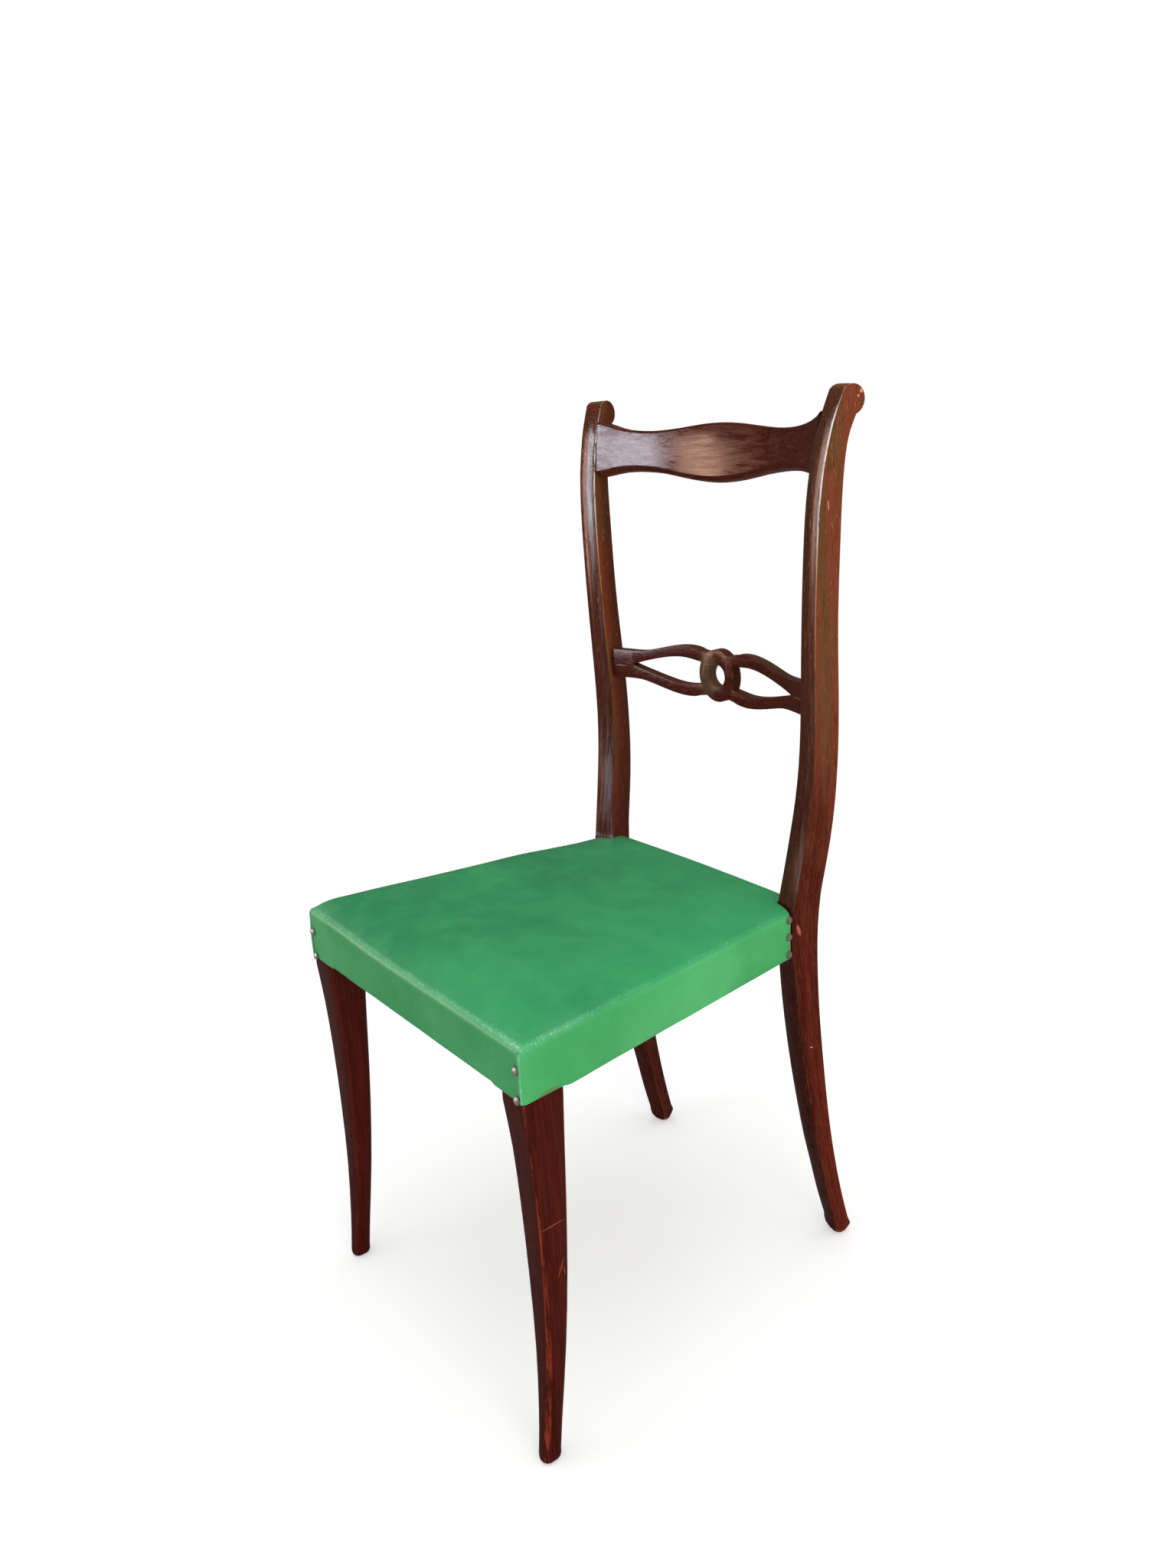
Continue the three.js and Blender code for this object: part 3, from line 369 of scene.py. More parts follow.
def new_material(name, values):
    """A material whose values that are the same all over are set on its Principled BSDF."""
    material = bpy.data.materials.new(name)
    material.use_nodes = True
    tree = Tree(material.node_tree)
    for socket, value in values.items():
        material.node_tree.nodes["Principled BSDF"].inputs[socket].default_value = value
    return material, tree, tree.add("ShaderNodeTexCoord").outputs["Object"]


def use(tree, made, **values):
    """Places a node group in a material with its own values."""
    node = tree.add("ShaderNodeGroup", node_tree=made)
    for socket, value in values.items():
        tree.feed(node.inputs[socket.replace("_", " ")], value)
    return node.outputs


def surface(tree, colour, rough, height, strength, distance, **more):
    """Links what changes over a material's surface. Its relief comes from a height."""
    relief = tree.add("ShaderNodeBump", {
        "Height": height, "Strength": strength, "Distance": distance,
    }).outputs[0]
    values = {"Base Color": colour, "Roughness": rough, "Normal": relief, **more}
    for socket, value in values.items():
        tree.feed(tree.tree.nodes["Principled BSDF"].inputs[socket], value)


# Materials

GLOSS = 0.11


def lacquered_mahogany(
    name, squash, colours, wear, lit_heights=None, marks=(), olive=None, outline=0.0,
    rubbed_and_highlit_above=None, scratched=None, depth=0.35, shine=0.46,
):
    """Red-brown gloss lacquer over mahogany. The grain runs along the squashed axis, the colour
    warms with the height as painted light, faces to the front and back are painted darker as
    shade, and the arrises are rubbed through, with a painted highlight over the wear near the top
    of the uprights. The five colours are the dark bands, the body, the warm parts, the streaks and
    the painted shade of the front faces."""
    material, tree, place = new_material(name, {"IOR": 1.3, "Specular IOR Level": shine})
    dark, body, warm, streak, front = colours
    bend = tree.add("ShaderNodeCombineXYZ", {1: tree.mark("bend")}).outputs[0]
    straight = tree.vectors("SUBTRACT", place, bend)
    along = tree.squash(straight, *squash)
    grain = use(tree, GRAIN, Vector=along, Streak_Scale=260.0)
    clouds = tree.noise(place, 9.0, 3.0, 0.55)
    height = tree.split(place)[2]
    facing_y = tree.split(tree.normal())[1]
    colour = tree.blend(grain["Bands"], dark, body)
    # Painted light: with a range of height given, the colour warms and lightens towards the top;
    # without it, it warms at random.
    if lit_heights:
        lift = tree.plus(height, tree.times(tree.math("SUBTRACT", clouds, 0.5), 0.4))
        warmth_and_light = tree.times(tree.ramp(lift, *lit_heights), 0.8)
    else:
        warmth_and_light = tree.times(tree.ramp(clouds, 0.4, 0.65), 0.5)
    colour = tree.blend(warmth_and_light, colour, warm)
    if olive:
        tint, low, high = olive
        strips = tree.ramp(tree.noise(along, 75.0, 2.0, 0.4), 0.45, 0.53)
        patch = tree.times(strips, tree.ramp(clouds, low, high))
        colour = tree.lay(colour, tint, patch, warmth_and_light)
    strength = tree.plus(tree.times(warmth_and_light, 0.35), 0.2)
    colour = tree.lay(colour, streak, grain["Streaks"], strength)
    # Painted shade: faces turned to the front and to the back take the front colour, by the way they
    # face.
    facing = tree.ramp(tree.math("ABSOLUTE", tree.plus(facing_y, 0.12)), 0.12, 0.8)
    aside = tree.ramp(facing_y, 0.02, 0.3, 0.0, 0.7)
    painted_facing_shade = tree.math("MAXIMUM", tree.times(facing, 0.72), aside)
    colour = tree.blend(painted_facing_shade, colour, front)
    fine = tree.ramp(tree.noise(along, 1300.0, 3.0, 0.6), 0.5, 0.64)
    colour = tree.lay(colour, streak, fine, 0.3)
    if scratched:
        lines = tree.noise(tree.squash(straight, 1.0, 1.0, 0.12), 900.0, 2.0, 0.5, 0.3)
        above = tree.ramp(height, 0.5, 0.95, 0.15, 0.8)
        hairs = tree.times(tree.ramp(lines, 0.66, 0.72), above)
        colour = tree.blend(hairs, colour, scratched)
    colour = tree.lay(colour, "120404", grain["Pores"], 0.5)
    rub_reach, rub_colour = wear
    # Painted shade: a near black band along every edge stands for the dark reflection on the rounded
    # arrises.
    if outline:
        painted_edge_shade = use(tree, EDGE_SHADE, Radius=outline)["Mask"]
        colour = tree.lay(colour, "160505", painted_edge_shade, 0.85)
    rubbed = tree.squash(straight, *[0.04 + 0.96 * s for s in squash])
    rub_and_highlight = use(tree, ARRIS, Vector=rubbed, Arris=tree.mark("arris"), Reach=rub_reach)["Mask"]
    worn = rub_colour
    # Painted highlight: on the uprights the rubbed arrises turn near white towards the top, a
    # highlight painted over the wear.
    if rubbed_and_highlit_above:
        low, high, pale = rubbed_and_highlit_above
        rise = tree.ramp(height, low, high)
        rub_and_highlight = tree.times(rub_and_highlight, tree.plus(tree.times(rise, 0.8), 0.2))
        worn = tree.blend(tree.ramp(height, 0.8, 0.9), worn, pale)
    colour = tree.blend(rub_and_highlight, colour, worn)
    for middle, turn, size, mark_colour, amount in marks:
        mask = use(
            tree, MARK, Vector=place, Middle=[v * MM for v in middle],
            Turn=[math.radians(v) for v in turn], Size=[v * MM for v in size],
        )["Mask"]
        colour = tree.lay(colour, mark_colour, mask, amount)
    polish = tree.noise(along, 110.0, 4.0, 0.6, 0.5)
    rough = tree.ramp(tree.plus(grain["Streaks"], clouds), 0.4, 1.4, GLOSS, GLOSS + 0.14)
    rough = tree.plus(rough, tree.ramp(polish, 0.32, 0.66, 0.06, -0.03))
    if outline:
        rough = tree.plus(rough, tree.times(painted_edge_shade, 0.3))
    rough = tree.plus(rough, tree.times(rub_and_highlight, 0.2))
    surface(tree, colour, rough, grain["Height"], depth, 0.0002)
    return material


def green_leatherette():
    """Satin leatherette, mottled on top, paler at the rubbed edges, where a highlight is also
    painted, lightly creased, with painted shade on the top, on the front and in the slit of the lap.
    """
    material, tree, place = new_material("green_leatherette", {
        "IOR": 1.28, "Sheen Weight": 0.04, "Sheen Roughness": 0.4,
    })
    facing = tree.split(tree.normal())
    across = tree.split(place)[0]
    patches = tree.noise(place, 6.5, 4.0, 0.5, 0.4)
    small = tree.noise(place, 34.0, 4.0, 0.6)
    shade = tree.ramp(patches, 0.35, 0.65)
    # Painted shade: the top and the front take darker greens than the sides, by the way each face
    # turns, and the top is painted lighter towards the near side.
    side = tree.blend(shade, "48b264", "5ac476")
    front = tree.blend(shade, "3aa05a", "48ad68")
    lift = tree.plus(patches, tree.times(across, 0.9))
    top = tree.blend(tree.ramp(lift, 0.28, 0.76), "2c8a54", "36a463")
    colour = tree.blend(tree.ramp(facing[1], -0.8, -0.4), front, side)
    colour = tree.blend(tree.ramp(facing[2], 0.35, 0.85), colour, top)
    colour = tree.lay(colour, "4cb070", tree.ramp(small, 0.4, 0.7), 0.22)
    # Wear and painted highlight: the rubbed edges and the turned edges by the slit are painted paler;
    # the chips are wear.
    rub_and_highlight = tree.mark("rub_and_highlight")
    broken = tree.times(rub_and_highlight, tree.ramp(small, 0.2, 0.7, 0.45, 1.0))
    colour = tree.lay(colour, "86d6a4", broken, 0.62)
    chips = tree.times(rub_and_highlight, tree.ramp(tree.noise(place, 420.0, 3.0), 0.58, 0.64))
    colour = tree.lay(colour, "bceacc", chips, 0.65)
    # Painted shade: the slit of the lap is painted near black.
    colour = tree.lay(colour, "0c3422", tree.mark("slit_shade"), 0.9)
    stain = use(
        tree, MARK, Vector=place, Middle=(0.2085, -0.209, 0.4068), Turn=(0.0, 0.0, 0.0),
        Size=(0.01, 0.02, 0.0055), Roughness=0.6,
    )["Mask"]
    colour = tree.lay(colour, "6a5a30", stain, 0.5)
    specks = tree.ramp(tree.noise(place, 1100.0, 1.0), 0.76, 0.8)
    colour = tree.lay(colour, "b8dcc0", specks, 0.35)
    dull = tree.ramp(rub_and_highlight, 0.0, 0.5, 0.0, 0.35)
    rough = tree.plus(tree.ramp(patches, 0.3, 0.7, 0.38, 0.5), dull)
    pebbles = tree.add("ShaderNodeTexVoronoi", {
        "Vector": place, "Scale": 1300.0,
    }).outputs["Distance"]
    drift = tree.add("ShaderNodeTexNoise", {
        "Vector": place, "Scale": 30.0, "Detail": 3.0,
    }).outputs["Color"]
    bent = tree.vectors("ADD", place, tree.squash(drift, 0.02, 0.02, 0.02))
    cracks = tree.add("ShaderNodeTexVoronoi", {
        "Vector": bent, "Scale": 85.0,
    }, feature="DISTANCE_TO_EDGE").outputs["Distance"]
    creases = tree.times(tree.ramp(cracks, 0.0, 0.12), tree.ramp(small, 0.45, 0.7))
    height = tree.plus(tree.times(pebbles, 0.5), tree.times(creases, 0.9))
    dents = tree.noise(tree.squash(place, 1.0, 1.0, 0.3), 55.0, 3.0, 0.55, 0.8)
    height = tree.plus(height, tree.times(dents, 9.0))
    surface(tree, colour, rough, height, 0.3, 0.00025)
    return material


def planed_beech():
    """Bare beech of the hidden frame, a little dusty."""
    material, tree, place = new_material("planed_beech", {"IOR": 1.4})
    grain = use(tree, GRAIN, Vector=tree.squash(place, 0.08, 1.0, 1.0), Streak_Scale=200.0)
    colour = tree.blend(grain["Bands"], "8a6438", "b58a5a")
    colour = tree.lay(colour, "6a4624", grain["Pores"], 0.5)
    dust = tree.ramp(tree.noise(place, 25.0, 4.0), 0.45, 0.7)
    colour = tree.lay(colour, "9c8c70", dust, 0.3)
    rough = tree.ramp(grain["Streaks"], 0.0, 1.0, 0.6, 0.78)
    surface(tree, colour, rough, grain["Height"], 0.3, 0.0003)
    return material


def woven_cloth(name, dark, light, threads, strength):
    """Plain woven cloth with some dirt. The threads are in radians a metre."""
    material, tree, place = new_material(name, {"Sheen Weight": 0.2, "IOR": 1.3})
    weave = use(tree, WEAVE, Vector=place, Threads=threads)
    colour = tree.blend(weave["Shade"], dark, light)
    dirt = tree.ramp(tree.noise(place, 18.0, 4.0), 0.45, 0.75)
    colour = tree.lay(colour, "6c5a3e", dirt, 0.35)
    rough = tree.ramp(weave["Shade"], 0.0, 1.0, 0.95, 0.85)
    surface(tree, colour, rough, weave["Height"], strength, 0.0006)
    return material


def pad_fibre():
    """Felted fibre of the pad."""
    material, tree, place = new_material("pad_fibre", {"Sheen Weight": 0.3, "IOR": 1.3})
    fibres = tree.noise(tree.squash(place, 1.0, 0.15, 1.0), 700.0, 6.0, 0.7, 1.5)
    clumps = tree.noise(place, 60.0, 4.0)
    colour = tree.blend(tree.ramp(fibres, 0.3, 0.7), "b8aa88", "e2d8bc")
    colour = tree.blend(tree.ramp(clumps, 0.4, 0.7), colour, "cdbf9c")
    rough = tree.ramp(clumps, 0.3, 0.7, 0.9, 0.98)
    surface(tree, colour, rough, tree.plus(fibres, clumps), 0.6, 0.001)
    return material


def screw_steel():
    """Bare steel with specks of rust."""
    material, tree, place = new_material("screw_steel", {"Metallic": 1.0})
    rust = tree.ramp(tree.noise(place, 260.0, 5.0, 0.6), 0.5, 0.7)
    colour = tree.blend(rust, "8f8f8c", "5a3c28")
    surface(tree, colour, tree.ramp(rust, 0.0, 1.0, 0.35, 0.8), rust, 0.3, 0.0002)
    return material


def worn_nickel():
    """Nickel plate that is rubbed to its pinkish ground in the middle of each dome."""
    material, tree, place = new_material("worn_nickel", {"IOR": 1.5})
    spots = tree.noise(place, 900.0, 4.0, 0.6)
    middle = tree.plus(tree.mark("crown"), tree.times(spots, 0.5))
    worn = tree.ramp(middle, 0.72, 1.05)
    plate = tree.blend(tree.ramp(spots, 0.4, 0.65), "8e8c80", "625f54")
    rough = tree.ramp(spots, 0.3, 0.7, 0.42, 0.62)
    metal = tree.ramp(worn, 0.0, 1.0, 0.4, 0.15)
    colour = tree.blend(worn, plate, "8c786a")
    surface(tree, colour, rough, spots, 0.35, 0.0002, Metallic=metal)
    return material


# Worn places, and a painted reflection on the lyre's ring: middle in mm, turn in degrees, half sizes
# in mm, colour, amount
UPRIGHT_MARKS = [
    ((173.4, 157.6, 434.0), (18, 0, 0), (3.0, 2.6, 9.0), "c06a5a", 0.8),
    ((173.4, 178.1, 281.1), (70, 0, 0), (1.5, 0.7, 3.2), "d8b8a8", 0.9),
    ((203.4, 216.7, 989.8), (20, 0, 0), (5.0, 1.8, 2.4), "f0b070", 0.95),
    ((202.4, 213.4, 985.4), (-30, 0, 0), (5.0, 1.4, 1.6), "e8a868", 0.9),
    ((192.9, 182.1, 885.3), (8, 0, 0), (5.0, 0.9, 6.0), "e0a078", 0.85),
]
LEG_MARKS = [
    ((210.4, -217.5, 270.7), (88, 0, 0), (5.0, 0.55, 17.0), "b8643c", 0.75),
    ((211.1, -212.0, 221.0), (-25, 0, 0), (6.0, 0.6, 12.0), "b8643c", 0.8),
    ((211.4, -208.5, 216.0), (14, 0, 0), (6.0, 0.5, 7.0), "b8643c", 0.7),
]
LYRE_MARKS = [
    # Painted reflection: the olive-brown left part of the ring, where its bowed front turns to the
    # light.
    ((-15.0, 205.0, 684.0), (0, 0, 0), (20.0, 60.0, 34.0), "6a563e", 0.55),
    ((-148.0, 188.0, 682.0), (0, 0, 0), (10.5, 12.0, 0.7), "a08a70", 0.8),
    ((146.0, 190.0, 683.3), (0, 0, 0), (10.5, 12.0, 0.7), "8a6a50", 0.7),
]
# The uprights' near white arrises at the top are a painted highlight over the wear, and their colour
# warms with the height as painted light.
upright_mahogany = lacquered_mahogany(
    "upright_mahogany", (1.0, 1.0, 0.05), ("3a0c05", "661a0b", "86482e", "94452a", "2a0a06"),
    (0.6, "c8823c"), (0.36, 0.86), UPRIGHT_MARKS, olive=("5a4a2a", 0.34, 0.44),
    rubbed_and_highlit_above=(0.6, 0.85, "fff2de"), scratched="c08660",
)
leg_mahogany = lacquered_mahogany(
    "leg_mahogany", (1.0, 1.0, 0.05), ("1e0503", "480e06", "44130a", "6e1e10", "3e1610"),
    (0.545, "8a2e14"), (-0.2, 0.3), LEG_MARKS,
)
# The crest's outline is a painted shade along its edges.
crest_mahogany = lacquered_mahogany(
    "crest_mahogany", (0.06, 1.0, 1.0), ("260604", "5c1a0c", "6c3018", "8a4424", "3a0e08"),
    (0.42, "a8764c"), outline=0.004, depth=0.14,
)
lyre_mahogany = lacquered_mahogany(
    "lyre_mahogany", (0.07, 1.0, 1.0), ("2a100a", "562214", "4c4028", "6e3c26", "4a130e"),
    (0.5, "a08462"), marks=LYRE_MARKS, shine=0.24,
)
leatherette = green_leatherette()
beech = planed_beech()
jute = woven_cloth("jute_webbing", "8a7048", "b09668", 900.0, 0.7)
hessian = woven_cloth("hessian_cloth", "96805a", "c2ab82", 1500.0, 0.8)
fibre = pad_fibre()
steel = screw_steel()
nickel = worn_nickel()


# Wooden members

def mark_arrises(piece, turn, low, high, worn=1.0, hidden=1.0):
    """Finds the arrises of a post or a leg by the way they face, in its own frame. The share hidden
    is the wear of those that face the sitter's right."""
    own = Matrix.Rotation(turn, 3, "Z")
    slants = []
    for vertex in piece.data.vertices:
        way = own @ vertex.normal
        share = worn if way.x > 0 else worn * hidden
        slants.append(share * smoothstep(low, high, min(abs(way.x), math.hypot(way.y, way.z))))
    piece.data.attributes["arris"].data.foreach_set("value", slants)


def follow_curve(piece):
    """Notes at each point how far back the middle of the curved post lies, for the grain."""
    ends = [[piece.data.vertices[i].co for i in edge.vertices] for edge in piece.data.edges]
    step, levels, middles = 15 * MM, 62, []
    for i in range(levels):
        z = (i + 0.5) * step
        cuts = [
            lerp(a.y, b.y, (z - a.z) / (b.z - a.z)) for a, b in ends if (a.z - z) * (b.z - z) < 0
        ]
        middles.append((min(cuts) + max(cuts)) / 2)
    bends = []
    for vertex in piece.data.vertices:
        place = min(len(middles) - 1.001, max(0.0, vertex.co.z / step - 0.5))
        i = int(place)
        bends.append(lerp(middles[i], middles[i + 1], place - i))
    mark_points(piece, "bend", bends)


def rear_post(side):
    """Back leg and upright in one, worn along the arrises that face to the near side, with a painted
    highlight over the wear near the top.
    """
    piece = copy_of_node("rear_post_" + side, "scrolled_post_" + side)
    soften(piece, POST_ARRIS)
    mark_arrises(piece, POST_TURN if side == "left" else -POST_TURN, 0.3, 0.5, hidden=0.15)
    follow_curve(piece)
    belongs(piece, upright_mahogany, "mahogany", "rear_post_" + side)


def front_leg(side):
    """A tapered leg. The near one is the more worn."""
    piece = copy_of_node("front_leg_" + side, "tapered_leg_" + side)
    soften(piece, LEG_ARRIS, 50)
    mark_arrises(piece, 0.0, 0.46, 0.66, 1.0 if side == "left" else 0.25)
    belongs(piece, leg_mahogany, "mahogany", "front_leg_" + side)


def crest_rail():
    """The crest rail's ends differ, as sawn by hand: the near end dips, and the far end rises."""
    piece = copy_of_node("crest_rail", "serpentine_crest")
    soften(piece, CREST_ARRIS, 50)
    to_crest = (
        STANCE @ Matrix.Translation(Vector(CREST_PLACE) * MM) @ Matrix.Rotation(-CREST_LEAN, 4, "X")
    )
    back = to_crest.inverted()
    for vertex in piece.data.vertices:
        p = back @ vertex.co
        x, z = p.x / MM, p.z / MM
        hand = math.copysign(1, x)
        lower = hand * CREST_LOWER_RISE * max(0, (abs(x) - 70) / 90) ** 1.6
        upper = -hand * CREST_UPPER_DIP * max(0, (abs(x) - 50) / 110) ** 1.6
        inside = 1 - smoothstep(166, 172, abs(x))
        p.z += lerp(lower, upper, smoothstep(8, CREST_HEIGHT - 10, z)) * inside * MM
        vertex.co = to_crest @ p
    belongs(piece, crest_mahogany, "mahogany", "crest_rail")


def lyre_rail():
    """The pierced rail below the crest."""
    piece = copy_of_node("lyre_rail", "pierced_lyre")
    soften(piece, LYRE_ARRIS, 40)
    belongs(piece, lyre_mahogany, "mahogany", "lyre_rail")


# Seat

HEM_TOP = 404.9
SHOULDER = SEAT_HEIGHT - SEAT_ROUND
SIDE_SLOPE = (SEAT_FRONT - SEAT_REAR) / 2 / SEAT_DEPTH
TOP_MIDDLE = (0.0, (SEAT_REACH - SEAT_DEPTH) / 2)

# The cover's net: rings of the hem (inset in mm, share of the way up to its top), of the upright
# sides, of the rounded edge and of the top, and their points, closer at the front corners
HEM_RINGS = ((14.0, 1.0), (8.0, 0.8), (3.0, 0.3), (0.9, 0.0))
WALL_RINGS, ROUND_RINGS, TOP_RINGS = 14, 8, 45
WALL_END = len(HEM_RINGS) + WALL_RINGS
CORNER_STEPS = 7
FRONT_STEPS = [i / 36 * 0.92 for i in range(37)] + [0.92 + 0.08 * i / 20 for i in range(1, 21)]
SIDE_STEPS = [0.03 * i / 8 for i in range(1, 9)] + [0.03 + 0.97 * i / 88 for i in range(1, 89)]
REAR_STEPS = [1 - i / 34 for i in range(1, 34)]


def seat_outline(inset):
    """The seat in plan at an inset, from the middle of the front by the near side and the rear."""
    front = -SEAT_DEPTH + inset
    slant = math.hypot(1, SIDE_SLOPE)

    def side_at(y):
        return SEAT_FRONT / 2 - (y + SEAT_DEPTH) * SIDE_SLOPE - inset * slant

    radius = max(SEAT_CORNER - inset, 0.4)
    corner = side_at(front + radius) - radius * slant
    half = [(corner * t, front) for t in FRONT_STEPS]
    for i in range(1, CORNER_STEPS + 1):
        angle = lerp(-math.pi / 2, math.atan(SIDE_SLOPE), i / CORNER_STEPS)
        half.append((corner + radius * math.cos(angle), front + radius + radius * math.sin(angle)))
    rear, start = SEAT_REACH - inset, half[-1][1]
    for t in SIDE_STEPS:
        y = lerp(start, rear - SEAT_BOW, t)
        half.append((side_at(y), y))
    rear_half = half[-1][0]
    half += [(rear_half * t, rear - SEAT_BOW * t * t) for t in REAR_STEPS]
    half.append((0.0, rear))
    return half + [(-x, y) for x, y in half[-2:0:-1]]


def lower_edge(x, y):
    """Height of the cover's lower edge: slack on the near side, and hanging free over the legs."""
    wave = 0.5 * noise.noise(Vector((x, y, 7.0)) / 45)
    along = y + SEAT_DEPTH
    slack = lerp(5.6, 1.6, min(1.0, max(0.0, along / SEAT_DEPTH))) if x > 160 else 0.0
    base = HEM_TOP - 0.7 + wave - slack
    over_leg = 1 - smoothstep(44, 60, along) if abs(x) > 150 else 0.0
    on_front = smoothstep(160, 176, abs(x)) * (1 - smoothstep(2, 12, along))
    hung = lerp(402.4, 400.9, min(1.0, along / 50))
    return lerp(base, hung, max(over_leg, on_front) if abs(x) > 160 else on_front)


def crown(x, y, share):
    """Rise of the padded top over its edge, fuller to the front and to the far side. The share is
    1 at the edge and 0 in the middle."""
    back = min(1.0, max(0.0, (y + SEAT_DEPTH) / SEAT_DEPTH))
    far = 0.5 - 0.5 * max(-1.0, min(1.0, x / 205))
    rise = lerp(15.0, 3.0, back) * (0.86 + 0.3 * far)
    full = lerp(7.0, 13.0, far)
    return rise * (1 - share ** full)


def cover_relief(x, y, z, edge):
    """Small relief of the pulled cover: slack, and puckers near the rounded edge."""
    p = Vector((x, y, z))
    slack = 0.9 * noise.noise(p / 70) + 0.35 * noise.noise(p / 24)
    cross = noise.noise(Vector((x / 6.5, y / 6.5, 3.0)))
    fine = noise.noise(Vector((x / 2.6, y / 2.6, 9.0)))
    near_edge = math.exp(-(edge / 12) ** 2)
    return slack * (1 - 0.6 * near_edge) + (0.2 * cross + 0.08 * fine) * near_edge


def cover_rings(outer):
    """Rings of points from the hem up the sides, over the rounded edge and in to the middle of the
    top, each with its distance from the rounded edge."""
    rings = []
    for inset, share in HEM_RINGS:
        rings.append(([
            (x, y, lerp(lower_edge(*under), HEM_TOP, share))
            for (x, y), under in zip(seat_outline(inset), outer)
        ], 60.0))
    for i in range(WALL_RINGS + 1):
        t = i / WALL_RINGS
        rings.append((
            [(x, y, lerp(lower_edge(x, y) + 0.9 * (i == 0), SHOULDER, t)) for x, y in outer],
            (1 - t) * (SHOULDER - 404),
        ))
    for i in range(1, ROUND_RINGS + 1):
        angle = math.pi / 2 * i / (ROUND_RINGS + 0.6)
        z = SHOULDER + SEAT_ROUND * math.sin(angle)
        inset = SEAT_ROUND * (1 - math.cos(angle))
        rings.append(([(x, y, z) for x, y in seat_outline(inset)], 0.0))
    rim = rings[-1][0]
    for i in range(1, TOP_RINGS + 1):
        share = 1 - (i / (TOP_RINGS + 1)) ** 1.2
        ring = []
        for x, y, _ in rim:
            px, py = x * share, lerp(TOP_MIDDLE[1], y, share)
            ring.append((px, py, SEAT_HEIGHT + crown(px, py, share)))
        rings.append((ring, (1 - share) * 190))
    return [ring for ring, _ in rings], [edge for _, edge in rings]


def ease_rim(rings):
    """Evens out the heights where the rounded edge runs into the top."""
    for _ in range(4):
        for r in range(WALL_END + 5, WALL_END + 14):
            rings[r] = [
                (x, y, (before[2] + 2 * z + after[2]) / 4)
                for (x, y, z), before, after in zip(rings[r], rings[r - 1], rings[r + 1])
            ]


def front_lap(x, y, z):
    """The side laps round on to the front, and its edge is creased over with a slit at the top. Gives
    the moved y, how deep the slit is, for its painted shade, and how strong the painted highlight is
    on the turned edges on both sides of it."""
    line = 207.6 + 0.4 * math.sin(z / 9.0) + (z - 430) * 0.01
    lap = smoothstep(line - 0.5, line + 0.5, abs(x))
    if x < 0:
        lap *= 1 - smoothstep(430, 452, z)
    slit = math.exp(-((abs(x) - line + 0.5) / 0.7) ** 2)
    opened = 1.0 + 1.6 * smoothstep(440, 447, z) * (1 - smoothstep(455, 459, z))
    y -= 1.3 * lap
    y += 0.7 * slit * opened
    turned_edge_highlight = math.exp(-((abs(x) - line - 1.6) / 1.2) ** 2)
    turned_edge_highlight += 0.8 * math.exp(-((abs(x) - line + 2.3) / 0.6) ** 2)
    return y, slit * opened, turned_edge_highlight


def cover_point(r, edge, point, start):
    """A point of ring r with the cover's relief, how rubbed it is with a painted highlight, and how
    deep the painted shade of the slit is on it. The start is the point of the outline from which its
    line goes up and over."""
    x, y, z = point
    ox, oy = start
    along = oy + SEAT_DEPTH
    on_front = along < 0.5
    if r > WALL_END:
        relief, out = cover_relief(x, y, z, edge) * 0.8, 1 - min(1.0, (r - WALL_END) / ROUND_RINGS)
    else:
        relief, out = cover_relief(x, y, z, edge * 0.8) * 0.35 * (r >= len(HEM_RINGS)), 1.0
    swell = 5.2 * smoothstep(20, 190, -x) * (1 - smoothstep(0.65, 0.98, along / SEAT_DEPTH))
    z += swell * smoothstep(404, SHOULDER + 4, z)
    nx, ny = (0, -1) if on_front else (math.copysign(1, ox), 0.1)
    if oy > SEAT_REACH - SEAT_BOW - 0.5 and abs(ox) < 160:
        nx, ny = 0, 1
    x, y, z = x + nx * relief * out, y + ny * relief * out, z + relief * (1 - out) * 1.2
    slit, turned_edge_highlight = 0.0, 0.0
    if on_front and z > 396 and r <= WALL_END + 2:
        y, slit, turned_edge_highlight = front_lap(ox, y, z)

    # The ridge of the rounded edge is wear with a painted highlight.
    if r <= WALL_END + ROUND_RINGS:
        ridge = math.exp(-((r - WALL_END - 5.0) / 1.9) ** 2)
    else:
        ridge = 0.16 * math.exp(-edge / 7.0)
    corner = math.exp(-(along / 90) ** 2)
    where = 0.5 + 0.45 * smoothstep(60, 200, ox) if on_front else 0.25 + 0.6 * corner
    rear = smoothstep(SEAT_DEPTH - 30, SEAT_DEPTH, along)
    return (x, y, z), max(ridge * where * (1 - 0.8 * rear), turned_edge_highlight), min(1.0, slit)


def cover_net(outer, rings):
    """Faces between the rings and round the middle of the top. Over a leg and inside a post the
    cover has no hem."""
    def hangs_free(i):
        x, y = outer[i]
        return (abs(x) > 172 and y < -SEAT_DEPTH + 50.5) or y > -1

    count, faces = len(outer), []
    for r in range(len(rings) - 1):
        for i in range(count):
            j = (i + 1) % count
            if r < len(HEM_RINGS) and (hangs_free(i) or hangs_free(j)):
                continue
            faces.append((r * count + i, r * count + j, (r + 1) * count + j, (r + 1) * count + i))
    last, middle = (len(rings) - 1) * count, len(rings) * count
    return faces + [(last + i, last + (i + 1) % count, middle) for i in range(count)]


